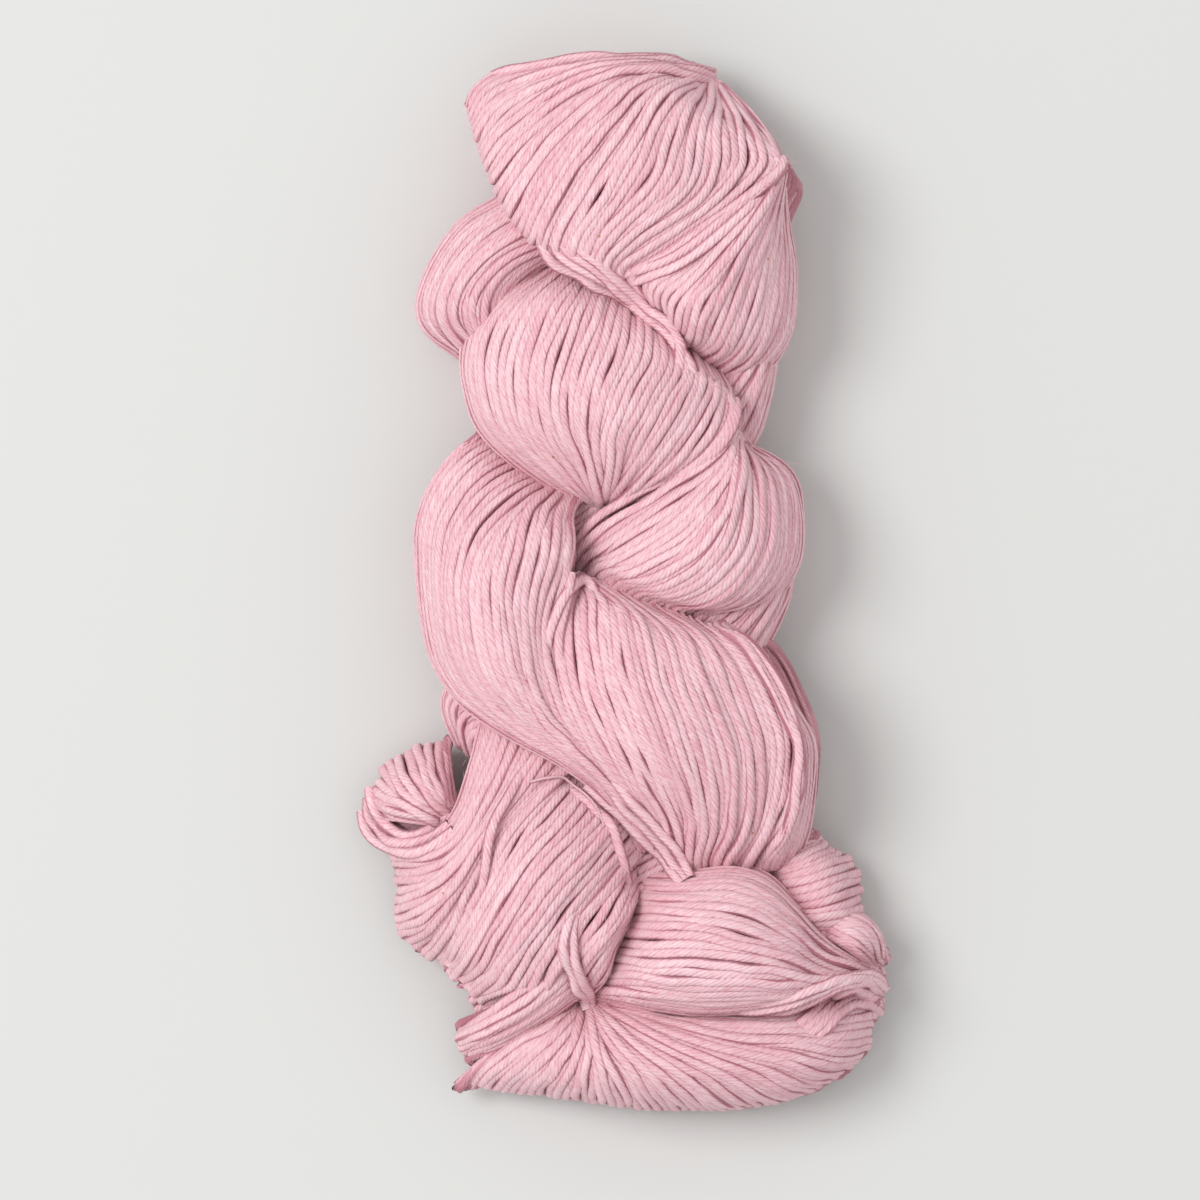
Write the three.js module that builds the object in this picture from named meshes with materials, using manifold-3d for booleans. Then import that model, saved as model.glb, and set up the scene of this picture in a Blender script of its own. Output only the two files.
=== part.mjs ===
import * as THREE from 'three';
import { mergeVertices } from 'three/addons/utils/BufferGeometryUtils.js';
import Module from 'manifold-3d';

// A twisted hank of yarn lying on its side. Millimetres: +X across the hank, +Y along it,
// +Z up, origin on the resting plane under the middle of the outline.

const TOP_STATIONS = 1.4; // sections for each table row of a lobe of the upper side
const UNDER_STATIONS = 1; // and of the under side
const CROWN_STEPS = 10; // steps across the upper face of a section
const BELLY_STEPS = 4; // steps across its lower face
const ROUNDNESS = 2.2; // exponent of the section's oval: 2 is an ellipse, more is fuller
const END_ROUNDING = 0.1; // share of a lobe's length over which an end closes
const THIN_END = 0.15; // share of its thickness left at the very end
const JOIN_FADE = 0.15; // share of the length over which a rounded edge turns into a joined one
const JOIN_FLATNESS = 1.5; // exponent of the crown's fall to a joined edge: above 1 it ends level
const LAP = 3; // how far a joined edge reaches into the next lobe
const LAP_DROP = 2; // and how far below the edge
const END_CROWDING = 0.5; // 0 spaces the sections evenly, 1 crowds them at the ends
const MERGE_DISTANCE = 1e-4;
const SIMPLIFY = 0.04; // surface detail below this is merged
const ROOM = [300, 400, 200]; // box above the resting plane that keeps the solid
const YARN_PINK = 0xe6b4c2;

// Each lobe is a bundle of strands between two crossings of the twist. A row is one section across
// the bundle, rows follow the strands. Its columns are the x, y of each guide strand from the left
// edge to the right edge, then four heights: left edge, crown, right edge, and belly depth below
// the edges. `left` and `right` are the shares of the length from which that edge runs on into the
// next lobe instead of rounding down.
const TOP_LOBES = {
  crown: { guides: 6, right: 0.4, rows: [
    [9, 131.5, 12.5, 131, 16, 130, 19.3, 128.8, 22, 127.6, 24.5, 126, 14, 18, 16, 4],
    [1, 132.3, 6.5, 131, 11.5, 129, 16.5, 126.3, 22.5, 121.5, 31, 119.8, 16, 28, 24, 11],
    [-6.5, 132.5, 0, 130.3, 6.5, 127.3, 12.8, 123.5, 21.5, 116.8, 36.2, 113.3, 17, 37, 30, 15],
    [-13.5, 132, -6, 128.6, 0.7, 124.3, 9, 118.3, 20.3, 111.2, 38.8, 108.8, 18, 41, 33, 16],
    [-19, 131.4, -11, 125.7, -4, 119.5, 6, 112, 19.8, 105.5, 38.7, 104.6, 19, 43, 38, 16],
    [-27, 130.4, -18, 120.7, -10, 112.5, 2.5, 104.5, 17, 98.5, 30, 97, 19, 44, 42, 16],
    [-33, 129.3, -24, 115, -15.5, 105, -3, 96.5, 9, 91, 19, 89, 19, 44, 43.5, 16],
    [-37.5, 126.5, -29, 109.8, -20.5, 97.5, -8.5, 89, 1, 84.5, 8, 81, 20, 43, 42, 15],
    [-39.8, 123.5, -32.5, 105.5, -24, 91, -12, 82, -4, 79, 1.2, 77.5, 20, 41, 39, 13],
    [-40.8, 120.5, -34.5, 102.7, -25.5, 87, -11.5, 78, -3, 74.5, 1.5, 73, 20, 38, 36, 10],
    [-41, 118.5, -35.5, 101.5, -26, 85.5, -8, 75, 1.5, 70.5, 6.5, 66.8, 20, 33, 31, 6] ] },
  fan: { guides: 3, left: 0, rows: [
    [38, 108, 41.3, 105.5, 41, 102.5, 28, 24, 17, 8],
    [35, 102.5, 39.3, 99.5, 40.6, 97.5, 37, 36, 20, 14],
    [27, 95.5, 35.5, 92, 41.7, 90, 41, 42, 21, 16],
    [17, 88, 30, 83, 43.2, 81, 43.5, 45, 21, 16],
    [8, 81, 24.5, 73, 43.5, 71.5, 42, 46, 21, 16],
    [1, 77.5, 20.5, 65, 42, 62, 38, 44, 21, 14],
    [1.5, 72.5, 18.5, 59.5, 37.5, 54.5, 34, 38, 21, 11],
    [5.5, 67.5, 15.5, 57.3, 30.5, 49.5, 30, 31, 20, 8],
    [9.5, 63, 13.8, 57.5, 26, 48, 26, 26, 19, 5] ] },
  upper: { guides: 4, right: 0.3, rows: [
    [-14, 88, -5, 83.5, 7, 72.5, 20, 61.5, 18, 22, 16, 8],
    [-32.5, 74.5, -13, 72, 9.5, 61, 26, 51, 21, 38, 26, 14],
    [-39.7, 67, -17, 63, 9.5, 54.5, 28, 46.5, 21, 43, 32, 16],
    [-42.4, 58, -19.5, 54.5, 6.3, 48.5, 27.5, 42.8, 21, 46, 36, 16],
    [-41.5, 48, -20, 45.5, 3.5, 42, 26, 38.5, 21, 47, 38, 16],
    [-38, 38.5, -18.5, 37.5, 0.5, 36, 22, 33, 21, 45, 38, 16],
    [-28.5, 29, -14.5, 29.5, -1, 29, 15, 27, 22, 41, 37, 14],
    [-16, 21, -10, 22, -3, 22.5, 6, 21, 23, 35, 33, 10],
    [-6.5, 16.5, -6, 17, -5.5, 17.5, -4, 17, 22, 26, 27, 5] ] },
  right: { guides: 4, left: 0, rows: [
    [27.5, 41, 28.8, 38.5, 30, 36.5, 31, 35.5, 33, 30, 20, 6],
    [24, 35, 28, 31.5, 32.5, 31.5, 38, 32.5, 37, 37, 20, 14],
    [17, 30, 25.5, 25, 34, 25, 43.5, 27, 37, 41, 19, 16],
    [8, 26, 21.5, 17, 34, 15, 45.2, 17, 36, 44, 19, 16],
    [0, 22, 16, 10, 31, 6, 44.8, 7, 34, 45, 19, 16],
    [-7.5, 17.5, 8, 5, 25.5, -1.5, 41.5, -0.5, 31, 43, 19, 15],
    [-11, 14, 0.5, 1.5, 18, -6, 35.5, -6, 30, 39, 19, 10],
    [-14, 9.5, -4.5, 0.5, 11, -6.5, 28, -9.5, 27, 33, 20, 8],
    [-17.5, 3, -8, -6, 8, -12, 25, -14.5, 23, 25, 18, 5] ] },
  mainLeft: { guides: 4, right: 0.35, rows: [
    [-36, 39, -20, 28, -18, 26, -10, 23, 16, 26, 26, 8],
    [-44, 33.7, -27, 24.5, -23.5, 21.5, -12.5, 17.5, 19, 34, 31, 14],
    [-50.3, 25, -34.5, 18.5, -27, 15, -12, 12, 20, 39, 36, 16],
    [-53.8, 15, -40, 11, -29, 7, -12.5, 5, 20, 42, 39, 16],
    [-53.6, 3, -42.5, 1, -30.5, -1.5, -15, -2.5, 20, 44, 41, 16],
    [-52, -11, -41.5, -12, -29.5, -13, -17, -12, 20, 44, 42, 16],
    [-48.8, -21.5, -38, -23, -27.5, -23.5, -16.5, -22, 20, 43, 42, 16],
    [-41.5, -31, -32, -31.5, -23.5, -32.5, -14, -32, 25, 41, 42, 15],
    [-30, -38.7, -23, -39, -16, -40, -9.5, -40, 30, 40, 41, 14],
    [-18, -45, -13, -46, -8.5, -47, -4, -48, 33, 39, 39, 12],
    [-7, -53, -4, -54, -1, -55, 3, -56, 32, 35, 34, 8],
    [5, -67.5, 6.5, -67.5, 8, -67, 10, -66.5, 26, 28, 28, 5] ] },
  mainMiddle: { guides: 4, left: 0.15, right: 0, rows: [
    [-11.5, 3.5, -9.5, 2.5, -5, 1, 19.5, -8.8, 28, 32, 30, 6],
    [-16, -3, -4, -3.5, 8, -8, 26.3, -12.8, 37, 40, 36, 14],
    [-17.5, -12, -3, -12, 12, -15, 32.5, -20.3, 41, 45, 38, 16],
    [-17, -22, -1, -23, 15, -25.5, 37.2, -29, 42, 47, 38, 16],
    [-14, -32, 2, -33, 19, -35.5, 40, -38.5, 42, 47, 38, 16],
    [-9.5, -41, 5.5, -43, 21.5, -45, 40.2, -46.5, 41, 45, 36, 16],
    [-4, -49.5, 9.5, -52, 22.5, -54, 38.5, -55, 38, 41, 34, 15],
    [2.5, -57.5, 12.5, -60.5, 22, -62, 35, -63, 33, 36, 32, 12],
    [6.5, -65, 13, -69, 19.5, -70, 30.5, -70, 28, 30, 28, 9],
    [7.5, -71.5, 14, -75, 20, -76, 29, -75.5, 23, 23, 20, 5] ] },
  mainEdge: { guides: 3, left: 0, rows: [
    [19, -9, 23, -8.7, 27, -8.8, 32, 31, 24, 6],
    [26, -12.8, 30, -13, 33.5, -14.5, 36, 35, 21, 12],
    [32.5, -20.5, 36, -21, 38.7, -23, 37, 37, 19, 14],
    [37, -29, 40.5, -30, 43.9, -31, 37, 38, 19, 15],
    [39.5, -38, 44, -38.5, 48.1, -39, 36, 38, 19, 15],
    [39.5, -46, 44, -46.3, 48.5, -46.5, 35, 37, 19, 15],
    [38, -55, 43, -55.2, 47.8, -55, 33, 34, 19, 14],
    [34, -63.5, 40, -63.5, 46.5, -62.5, 30, 31, 18, 13],
    [29, -72, 36, -72.5, 43, -71, 24, 25, 17, 10] ] },
  tuft: { guides: 5, rows: [
    [-41.5, -57, -43, -58, -44.5, -59.5, -45, -60.5, -44, -62, 20, 25, 22, 10],
    [-42.6, -50, -47.5, -51, -51.5, -54, -52.5, -57.5, -51.5, -61, 16, 28, 20, 14],
    [-43.5, -44, -50, -45, -57.5, -49.5, -59.5, -55, -58.5, -60, 13, 23, 16, 12],
    [-43.5, -37.2, -51.5, -38.8, -61, -43.8, -66, -52.5, -63, -59.5, 8, 10, 8, 7] ] },
  sweepLeft: { guides: 5, right: 0, rows: [
    [-35.5, -27, -29, -30, -22.5, -33.5, -16, -37, -9, -40, 19, 27, 28, 8],
    [-38.3, -37, -32.5, -39.5, -27, -42, -21.5, -44, -15.5, -46, 21, 31, 32, 12],
    [-40.8, -46, -36.5, -49.5, -32.5, -52, -28, -53, -22.5, -53, 21, 35, 36, 15],
    [-43.6, -55, -41, -58.5, -38.5, -61, -34.5, -62, -29.5, -61, 23, 38, 39.5, 16],
    [-47.5, -60, -46, -64.5, -43.5, -68.5, -40, -71, -34.5, -70.5, 22, 36, 39, 16],
    [-54, -61.3, -52, -67, -49, -74, -45.5, -79, -39, -80, 18, 31, 34, 15],
    [-59.5, -60, -57, -67.5, -54.8, -77, -52, -86, -43.8, -90.5, 13, 22, 25, 12],
    [-63, -58, -60.5, -67, -59.4, -78.5, -58, -88.3, -47.5, -97, 8, 10, 9, 7] ] },
  sweepMain: { guides: 4, left: 0, right: 0, rows: [
    [-9, -40, -2, -47, 4, -56, 7, -64, 20, 24, 24, 8],
    [-15.5, -46, -8, -54, -2, -62, 1, -70, 29, 33, 31, 12],
    [-22.5, -53, -14.5, -61.5, -8.5, -69, -4, -76, 36, 40, 37, 15],
    [-29.5, -61, -22.5, -69, -15.5, -76.5, -9.5, -82.5, 39.5, 44, 39, 16],
    [-34.5, -70.5, -28.5, -78, -21.5, -84.5, -14, -89.5, 39, 44, 40, 16],
    [-39, -80, -33.5, -86.5, -27, -92, -18, -96.5, 34, 40, 37, 15],
    [-43.8, -90.5, -38.5, -95.5, -32.5, -100.5, -23.5, -104.5, 25, 30, 30, 13],
    [-47.5, -97, -44.5, -101, -41.5, -106, -38, -110.5, 9, 11, 11, 7] ] },
  sweepEdge: { guides: 3, left: 0, rows: [
    [2, -69, 5, -74.5, 4, -83.5, 27, 20, 14, 8],
    [-2, -73.5, 2.5, -79.5, 1.5, -87.3, 34, 33, 22, 12],
    [-6.5, -79, -1.5, -85, -1.5, -91.5, 38, 38, 27, 15],
    [-11.5, -85.5, -6, -90.5, -2.8, -96, 39.5, 39, 29, 15],
    [-15.5, -92, -10, -96, -5, -100.3, 37, 36, 26, 12],
    [-18, -99, -13, -101.5, -10, -104.5, 28, 27, 20, 5] ] },
  tail: { guides: 3, left: 0, rows: [
    [-14, -90, -11.5, -96, -10.5, -103, 36, 34, 24, 8],
    [-23, -97.5, -19, -103, -16, -107.5, 35, 33, 24, 12],
    [-33, -104, -28.5, -109.5, -24, -113.3, 28, 29, 20, 11],
    [-39.5, -108.5, -37, -114, -33, -118, 18, 23, 15, 10],
    [-43, -111, -44.5, -116.5, -41.3, -121, 9, 10, 8, 6] ] },
  long: { guides: 4, rows: [
    [65.3, -96.5, 65.8, -98.5, 65.5, -100, 63.3, -102.5, 10, 13, 11, 6],
    [57.5, -92, 57, -96, 57, -99, 57, -102, 17, 30, 22, 12],
    [50.5, -87, 49, -94, 49, -99, 49.5, -103, 19, 37, 25, 14],
    [43.5, -79.5, 41.5, -90, 41.5, -98.5, 42, -106, 21, 43, 25, 16],
    [36.5, -72, 33, -86, 32, -97.5, 31, -107.8, 22, 46, 24, 16],
    [27, -69, 22, -83, 20, -97, 18, -108.4, 22, 46, 23, 16],
    [14, -70.2, 10, -82, 7, -96, 4, -107.2, 21, 43, 22, 15],
    [1, -69.5, -2, -82, -7, -95, -11, -104, 18, 28, 18, 8] ] },
  fold: { guides: 3, rows: [
    [48, -61.2, 58.8, -71, 60.8, -86, 8, 10, 9, 6],
    [44.5, -63, 52.5, -72.5, 55.8, -87, 14, 24, 18, 13],
    [39, -65.5, 44, -75.5, 49, -88, 16, 26, 21, 13],
    [33, -68, 37, -77, 41, -87, 14, 20, 18, 8] ] },
  foldEdge: { guides: 3, rows: [
    [66.3, -95, 64, -97.5, 61, -99, 8, 12, 9, 6],
    [64.3, -86.5, 61, -91.5, 58, -95.5, 14, 23, 16, 10],
    [59, -81.5, 57, -87.5, 55, -93, 15, 26, 18, 12],
    [52, -80.5, 52, -86, 51, -91, 15, 25, 18, 12],
    [44, -79, 45, -84, 46, -90, 14, 18, 14, 8] ] },
  bottomFan: { guides: 6, rows: [
    [-12, -102, -11, -104, -9.5, -104, -7.5, -104, -6, -104, -5, -103.5, 18, 24, 20, 8],
    [-20, -107, -12.5, -112, -5, -113, 5, -112, 12, -109, 14, -106, 22, 33, 24, 15],
    [-28, -111, -15, -118.5, 0, -120, 17, -118, 28, -113, 32, -106.5, 20, 36, 25, 16],
    [-34, -116, -17, -124, 5, -126.3, 28, -123.5, 43, -116, 46, -105, 16, 33, 24, 16],
    [-39.8, -121.5, -18.5, -127.3, 8.5, -130.6, 36, -128.5, 54, -119, 57, -103.5, 12, 25, 19, 14],
    [-43.8, -127.3, -19, -129.6, 10, -133, 40.5, -130.5, 61, -118.5, 64.2, -103.5, 8, 10, 9, 7] ] },
};

// The under side's bundles cross the other way and lie on the resting plane.
const UNDER_LOBES = {
  shoulder: { guides: 3, rows: [
    [2, 125, 18, 120, 33, 112, 9, 16, 10, 12],
    [-20, 111, -4, 105, 14, 96, 12, 24, 14, 16],
    [-31, 99.5, -20, 91, -6, 84, 14, 29, 18, 17],
    [-41.7, 92.7, -31, 84.5, -20, 79, 14, 33, 20, 17],
    [-49.2, 83, -38, 78, -26, 74, 14, 33, 20, 17],
    [-53.5, 73, -41.5, 72, -28, 70, 13, 32, 20, 17],
    [-53.5, 66.5, -42, 66, -28, 64, 12, 30, 18, 16],
    [-49.2, 60.7, -39, 60, -27, 58, 12, 26, 16, 15],
    [-40, 55, -32, 52, -22, 48, 11, 20, 12, 12] ] },
  underCrown: { guides: 3, rows: [
    [-33, 128, -8, 131, 17, 131, 9, 11, 10, 7],
    [-38, 120, -20, 121, 4, 120, 12, 22, 12, 15],
    [-38, 111, -28, 110, -12, 106, 13, 24, 12, 17],
    [-35, 102, -31, 99, -24, 94, 12, 18, 12, 13] ] },
  underFan: { guides: 3, rows: [
    [24, 124, 33, 114, 40, 102, 10, 16, 12, 10],
    [9, 108, 22, 95, 37, 82, 12, 25, 13, 16],
    [-8, 96, 5, 81, 20, 66, 13, 26, 13, 17],
    [-24, 82, -12, 66, 3, 50, 13, 26, 13, 17],
    [-36, 67, -28, 51, -14, 36, 12, 25, 13, 17],
    [-41, 55, -38.5, 42, -29, 28, 12, 20, 12, 14] ] },
  underUpper: { guides: 3, rows: [
    [37, 97, 39.5, 85, 40.5, 71, 12, 18, 12, 12],
    [34, 82, 37, 68, 38.8, 57, 13, 26, 14, 16],
    [25, 64, 31, 53, 36.6, 45, 13, 28, 15, 17],
    [9, 49, 19, 38, 31, 32, 13, 28, 14, 17],
    [-8, 41, 0, 23, 11, 13, 13, 27, 13, 17],
    [-24, 31, -18, 11, -8, -2, 13, 26, 13, 17],
    [-38, 21, -36, 1, -26, -14, 13, 26, 13, 17],
    [-50, 12, -51.5, -4, -44, -22, 12, 20, 12, 14] ] },
  underRight: { guides: 3, rows: [
    [36, 32, 41.5, 22, 43, 9, 12, 18, 12, 12],
    [30, 27, 37, 12, 42, -3, 13, 26, 14, 16],
    [18, 15, 27, -2, 37.2, -14, 13, 28, 15, 17],
    [2, 3, 12, -15, 28, -28, 13, 28, 14, 17],
    [-14, -7, -6, -26, 10, -42, 13, 27, 13, 17],
    [-31, -16, -23, -34, -10, -52, 13, 26, 13, 17],
    [-46.3, -25, -38, -36, -27, -52, 12, 22, 13, 16],
    [-46.4, -34, -41, -40, -33, -52, 12, 18, 13, 14],
    [-42.3, -42.5, -39, -46, -34, -56, 10, 14, 11, 11] ] },
  underMain: { guides: 3, rows: [
    [35, -23, 41, -34, 46, -46, 12, 18, 12, 12],
    [29, -31, 37, -47, 45.5, -62, 13, 24, 14, 16],
    [12, -43, 22, -60, 34, -78, 13, 26, 14, 17],
    [-6, -51, 4, -71, 16, -92, 13, 26, 13, 17],
    [-24, -57, -16, -79, -4, -101, 13, 26, 13, 17],
    [-41, -64, -36, -84, -26, -104, 12, 24, 13, 16],
    [-56, -70, -54, -86, -44, -101, 9, 15, 10, 9] ] },
  underFold: { guides: 3, rows: [
    [45, -60, 52, -69, 56.5, -80, 11, 17, 11, 12],
    [37, -72, 46, -82, 56, -93, 12, 24, 13, 16],
    [22, -82, 34, -97, 46, -110, 13, 26, 13, 17],
    [4, -92, 16, -109, 30, -123, 13, 26, 13, 17],
    [-14, -98, -4, -115, 10, -129, 12, 22, 12, 15],
    [-28, -104, -23, -117, -14, -127, 10, 16, 10, 11],
    [-38, -111, -38, -119, -34, -125, 8, 11, 8, 8] ] },
  underLong: { guides: 3, rows: [
    [56, -86, 59.5, -96, 61.5, -106, 10, 14, 10, 11],
    [48, -92, 54.5, -104, 59, -116, 11, 19, 11, 14],
    [36, -101, 45, -114, 50, -124.5, 11, 19, 11, 14],
    [20, -111, 30, -122, 34, -130, 10, 18, 10, 12],
    [4, -122, 12, -128, 16, -131.5, 8, 12, 8, 9] ] },
  underTuft: { guides: 3, rows: [
    [-35, -46, -34, -52, -30, -60, 11, 18, 12, 12],
    [-43.5, -52.5, -42, -60, -38, -68, 11, 20, 12, 14],
    [-53, -49, -53, -60, -47, -72, 9, 16, 10, 11],
    [-62, -50, -62, -60, -56, -74, 7, 9, 7, 7] ] },
};

// The smooth curve that passes through a list of points
const through = (points) => new THREE.CatmullRomCurve3(points, false, 'catmullrom', 0.5);

// Curves along a lobe: one for each guide strand, one for its edge and crown heights, one for its belly
function lobeCurves({ guides, rows }) {
  const column = (a, b, c) => through(rows.map((row) => new THREE.Vector3(row[a], row[b] ?? 0, row[c] ?? 0)));
  const strands = Array.from({ length: guides }, (_, i) => column(2 * i, 2 * i + 1));
  const heights = column(2 * guides, 2 * guides + 1, 2 * guides + 2);
  const belly = column(2 * guides + 3);
  return { strands, heights, belly };
}

// How full a section is: 1 along the lobe, falling to nothing over its rounded ends
function fullness(along) {
  const inward = Math.min(1, Math.min(along, 1 - along) / END_ROUNDING);
  return Math.sqrt(inward * (2 - inward));
}

// How far an edge is joined to the next lobe: 0 where it rounds down, 1 where it runs on
function joined(from, along) {
  return from === undefined ? 0 : THREE.MathUtils.smoothstep(along, from - JOIN_FADE, from);
}

// Points of one closed section, over the crown from the left edge and back under the belly
function section(lobe, curves, along) {
  const across = through(curves.strands.map((strand) => strand.getPoint(along)));
  const { x: leftEdge, y: crown, z: rightEdge } = curves.heights.getPoint(along);
  const full = Math.max(fullness(along), THIN_END);
  const rise = full * (crown - (leftEdge + rightEdge) / 2);
  const drop = full * curves.belly.getPoint(along).x;
  const join = { left: joined(lobe.left, along), right: joined(lobe.right, along) };
  const edgeHeight = (share) => THREE.MathUtils.lerp(leftEdge, rightEdge, share);
  const pointAt = (angle, above) => {
    const side = -Math.cos(angle);
    const share = (side + 1) / 2;
    const round = Math.sqrt(Math.max(0, 1 - Math.abs(side) ** ROUNDNESS));
    const open = above ? (1 - side * side) ** JOIN_FLATNESS : 1;
    const bulge = THREE.MathUtils.lerp(round, open, side < 0 ? join.left : join.right);
    const { x, y } = across.getPoint(share);
    return new THREE.Vector3(x, y, edgeHeight(share) + (above ? rise : -drop) * bulge);
  };
  const lap = (share, inner, amount) => {
    const edge = across.getPoint(share);
    const outward = edge.clone().sub(across.getPoint(inner)).normalize().multiplyScalar(LAP * full * amount);
    return edge.add(outward).setZ(edgeHeight(share) - LAP_DROP * full * amount);
  };
  const ring = [];
  for (let i = 0; i <= CROWN_STEPS; i++) ring.push(pointAt((Math.PI * i) / CROWN_STEPS, true));
  if (lobe.right !== undefined) ring.push(lap(1, 0.95, join.right), pointAt(Math.PI, false));
  for (let i = 1; i < BELLY_STEPS; i++) ring.push(pointAt(Math.PI * (1 - i / BELLY_STEPS), false));
  if (lobe.left !== undefined) ring.push(pointAt(0, false), lap(0, 0.05, join.left));
  return ring;
}

// A closed body lofted through rings of equal count, with a fan over each end
function loft(rings) {
  const count = rings[0].length;
  const points = rings.flat();
  const faces = [];
  for (let k = 0; k + 1 < rings.length; k++) {
    for (let i = 0; i < count; i++) {
      const a = k * count + i;
      const b = k * count + ((i + 1) % count);
      faces.push(a, a + count, b, b, a + count, b + count);
    }
  }
  const close = (start, outward) => {
    const ring = points.slice(start, start + count);
    const middle = ring.reduce((sum, p) => sum.add(p), new THREE.Vector3()).divideScalar(count);
    const hub = points.push(middle) - 1;
    for (let i = 0; i < count; i++) {
      const [a, b] = [start + i, start + ((i + 1) % count)];
      faces.push(hub, ...(outward ? [b, a] : [a, b]));
    }
  };
  close(0, false);
  close((rings.length - 1) * count, true);
  const geometry = new THREE.BufferGeometry().setFromPoints(points);
  geometry.setIndex(faces);
  return geometry;
}

// Sections stand closer together towards the rounded ends
function lobeGeometry(lobe, stationsPerRow) {
  const curves = lobeCurves(lobe);
  const last = Math.round(stationsPerRow * (lobe.rows.length - 1)) + 2;
  const rings = [];
  for (let k = 0; k <= last; k++) {
    const even = k / last;
    const eased = (1 - Math.cos(Math.PI * even)) / 2;
    rings.push(section(lobe, curves, THREE.MathUtils.lerp(even, eased, END_CROWDING)));
  }
  return loft(rings);
}

function toSolid(wasm, geometry) {
  const bare = geometry.clone();
  bare.deleteAttribute('normal');
  bare.deleteAttribute('uv');
  const merged = mergeVertices(bare, MERGE_DISTANCE);
  const corners = merged.index.array;
  const faces = [];
  for (let i = 0; i < corners.length; i += 3) {
    const [a, b, c] = corners.slice(i, i + 3);
    if (a !== b && b !== c && c !== a) faces.push(a, b, c);
  }
  return new wasm.Manifold(new wasm.Mesh({
    numProp: 3,
    vertProperties: new Float32Array(merged.attributes.position.array),
    triVerts: new Uint32Array(faces),
  }));
}

function toGeometry(solid) {
  const { vertProperties, triVerts } = solid.getMesh();
  const geometry = new THREE.BufferGeometry();
  geometry.setAttribute('position', new THREE.BufferAttribute(new Float32Array(vertProperties), 3));
  geometry.setIndex(new THREE.BufferAttribute(new Uint32Array(triVerts), 1));
  geometry.computeVertexNormals();
  return geometry;
}

// The whole wound form: all lobes joined, pressed flat where it rests, without closed pockets inside
function hankSolid(wasm) {
  const lobes = [
    ...Object.values(TOP_LOBES).map((lobe) => lobeGeometry(lobe, TOP_STATIONS)),
    ...Object.values(UNDER_LOBES).map((lobe) => lobeGeometry(lobe, UNDER_STATIONS)),
  ].map((geometry) => toSolid(wasm, geometry));
  const joined = lobes.reduce((whole, lobe) => whole.add(lobe));
  const above = new THREE.BoxGeometry(...ROOM).translate(0, 0, ROOM[2] / 2);
  const pressed = joined.intersect(toSolid(wasm, above)).simplify(SIMPLIFY);
  return pressed.decompose().reduce((best, body) => (body.volume() > best.volume() ? body : best));
}

async function buildHank() {
  const wasm = await Module();
  wasm.setup();
  const yarn = new THREE.MeshStandardMaterial({ color: YARN_PINK, roughness: 0.95, metalness: 0 });
  const geometry = toGeometry(hankSolid(wasm));
  geometry.computeBoundingBox();
  const middle = geometry.boundingBox.getCenter(new THREE.Vector3());
  geometry.translate(-middle.x, -middle.y, 0);
  const hank = new THREE.Mesh(geometry, yarn);
  hank.name = 'hank';
  return new THREE.Group().add(hank);
}

export default await buildHank();
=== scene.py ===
import math

import bpy
import numpy as np
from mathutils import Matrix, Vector


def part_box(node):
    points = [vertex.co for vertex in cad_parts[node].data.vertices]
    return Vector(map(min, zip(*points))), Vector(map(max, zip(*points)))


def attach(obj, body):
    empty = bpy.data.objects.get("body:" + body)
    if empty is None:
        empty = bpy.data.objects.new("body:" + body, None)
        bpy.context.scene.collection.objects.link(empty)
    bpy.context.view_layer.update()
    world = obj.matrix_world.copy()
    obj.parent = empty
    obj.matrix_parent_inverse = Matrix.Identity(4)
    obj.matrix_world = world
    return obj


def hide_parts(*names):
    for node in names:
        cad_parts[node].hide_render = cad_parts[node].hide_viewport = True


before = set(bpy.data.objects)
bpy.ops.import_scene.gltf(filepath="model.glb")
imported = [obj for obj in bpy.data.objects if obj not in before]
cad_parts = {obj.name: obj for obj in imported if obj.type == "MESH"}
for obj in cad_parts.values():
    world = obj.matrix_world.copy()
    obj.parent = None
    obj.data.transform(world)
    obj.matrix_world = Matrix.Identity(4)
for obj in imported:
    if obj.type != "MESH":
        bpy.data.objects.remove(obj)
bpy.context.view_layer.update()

# A twisted hank of yarn lying on its side, in the frame of the CAD. Lengths are in millimetres until
# a mesh is written. Every bundle between two crossings of the twist is a lobe, and its strands run
# over it from end to end and back underneath.

MM = 0.001
YARN = 2.8  # width of a strand
FLATNESS = 0.8  # its thickness for its width
RADIUS = YARN * FLATNESS / 2
PITCH = 2.35  # strand to strand where a lobe is widest
OPEN_PITCH = {"tuft": 2.9}  # the same where the loops stand apart
STEP = 1.5  # length of one tube segment
SIDES = 8  # faces round a strand
FULLNESS = 0.75  # exponent of its section, 1 for an oval
UNDER_STEP = 2.0  # length of a segment underneath
UNDER_SIDES = 6  # faces round a strand there
PLIES = 8  # plies twisted into a strand
PLY_MARK = 1.7  # distance along a strand from one ply to the next
ROUNDNESS = 2.2  # exponent of a lobe's oval section
END_ROUNDING = 0.1  # share of a lobe's length over which an end closes
JOIN_FADE = 0.15  # share of the length over which a rounded edge turns into a joined one
JOIN_FLATNESS = 1.5  # exponent of the fall from a lobe's crown to a joined edge
SEED = 20

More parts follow.
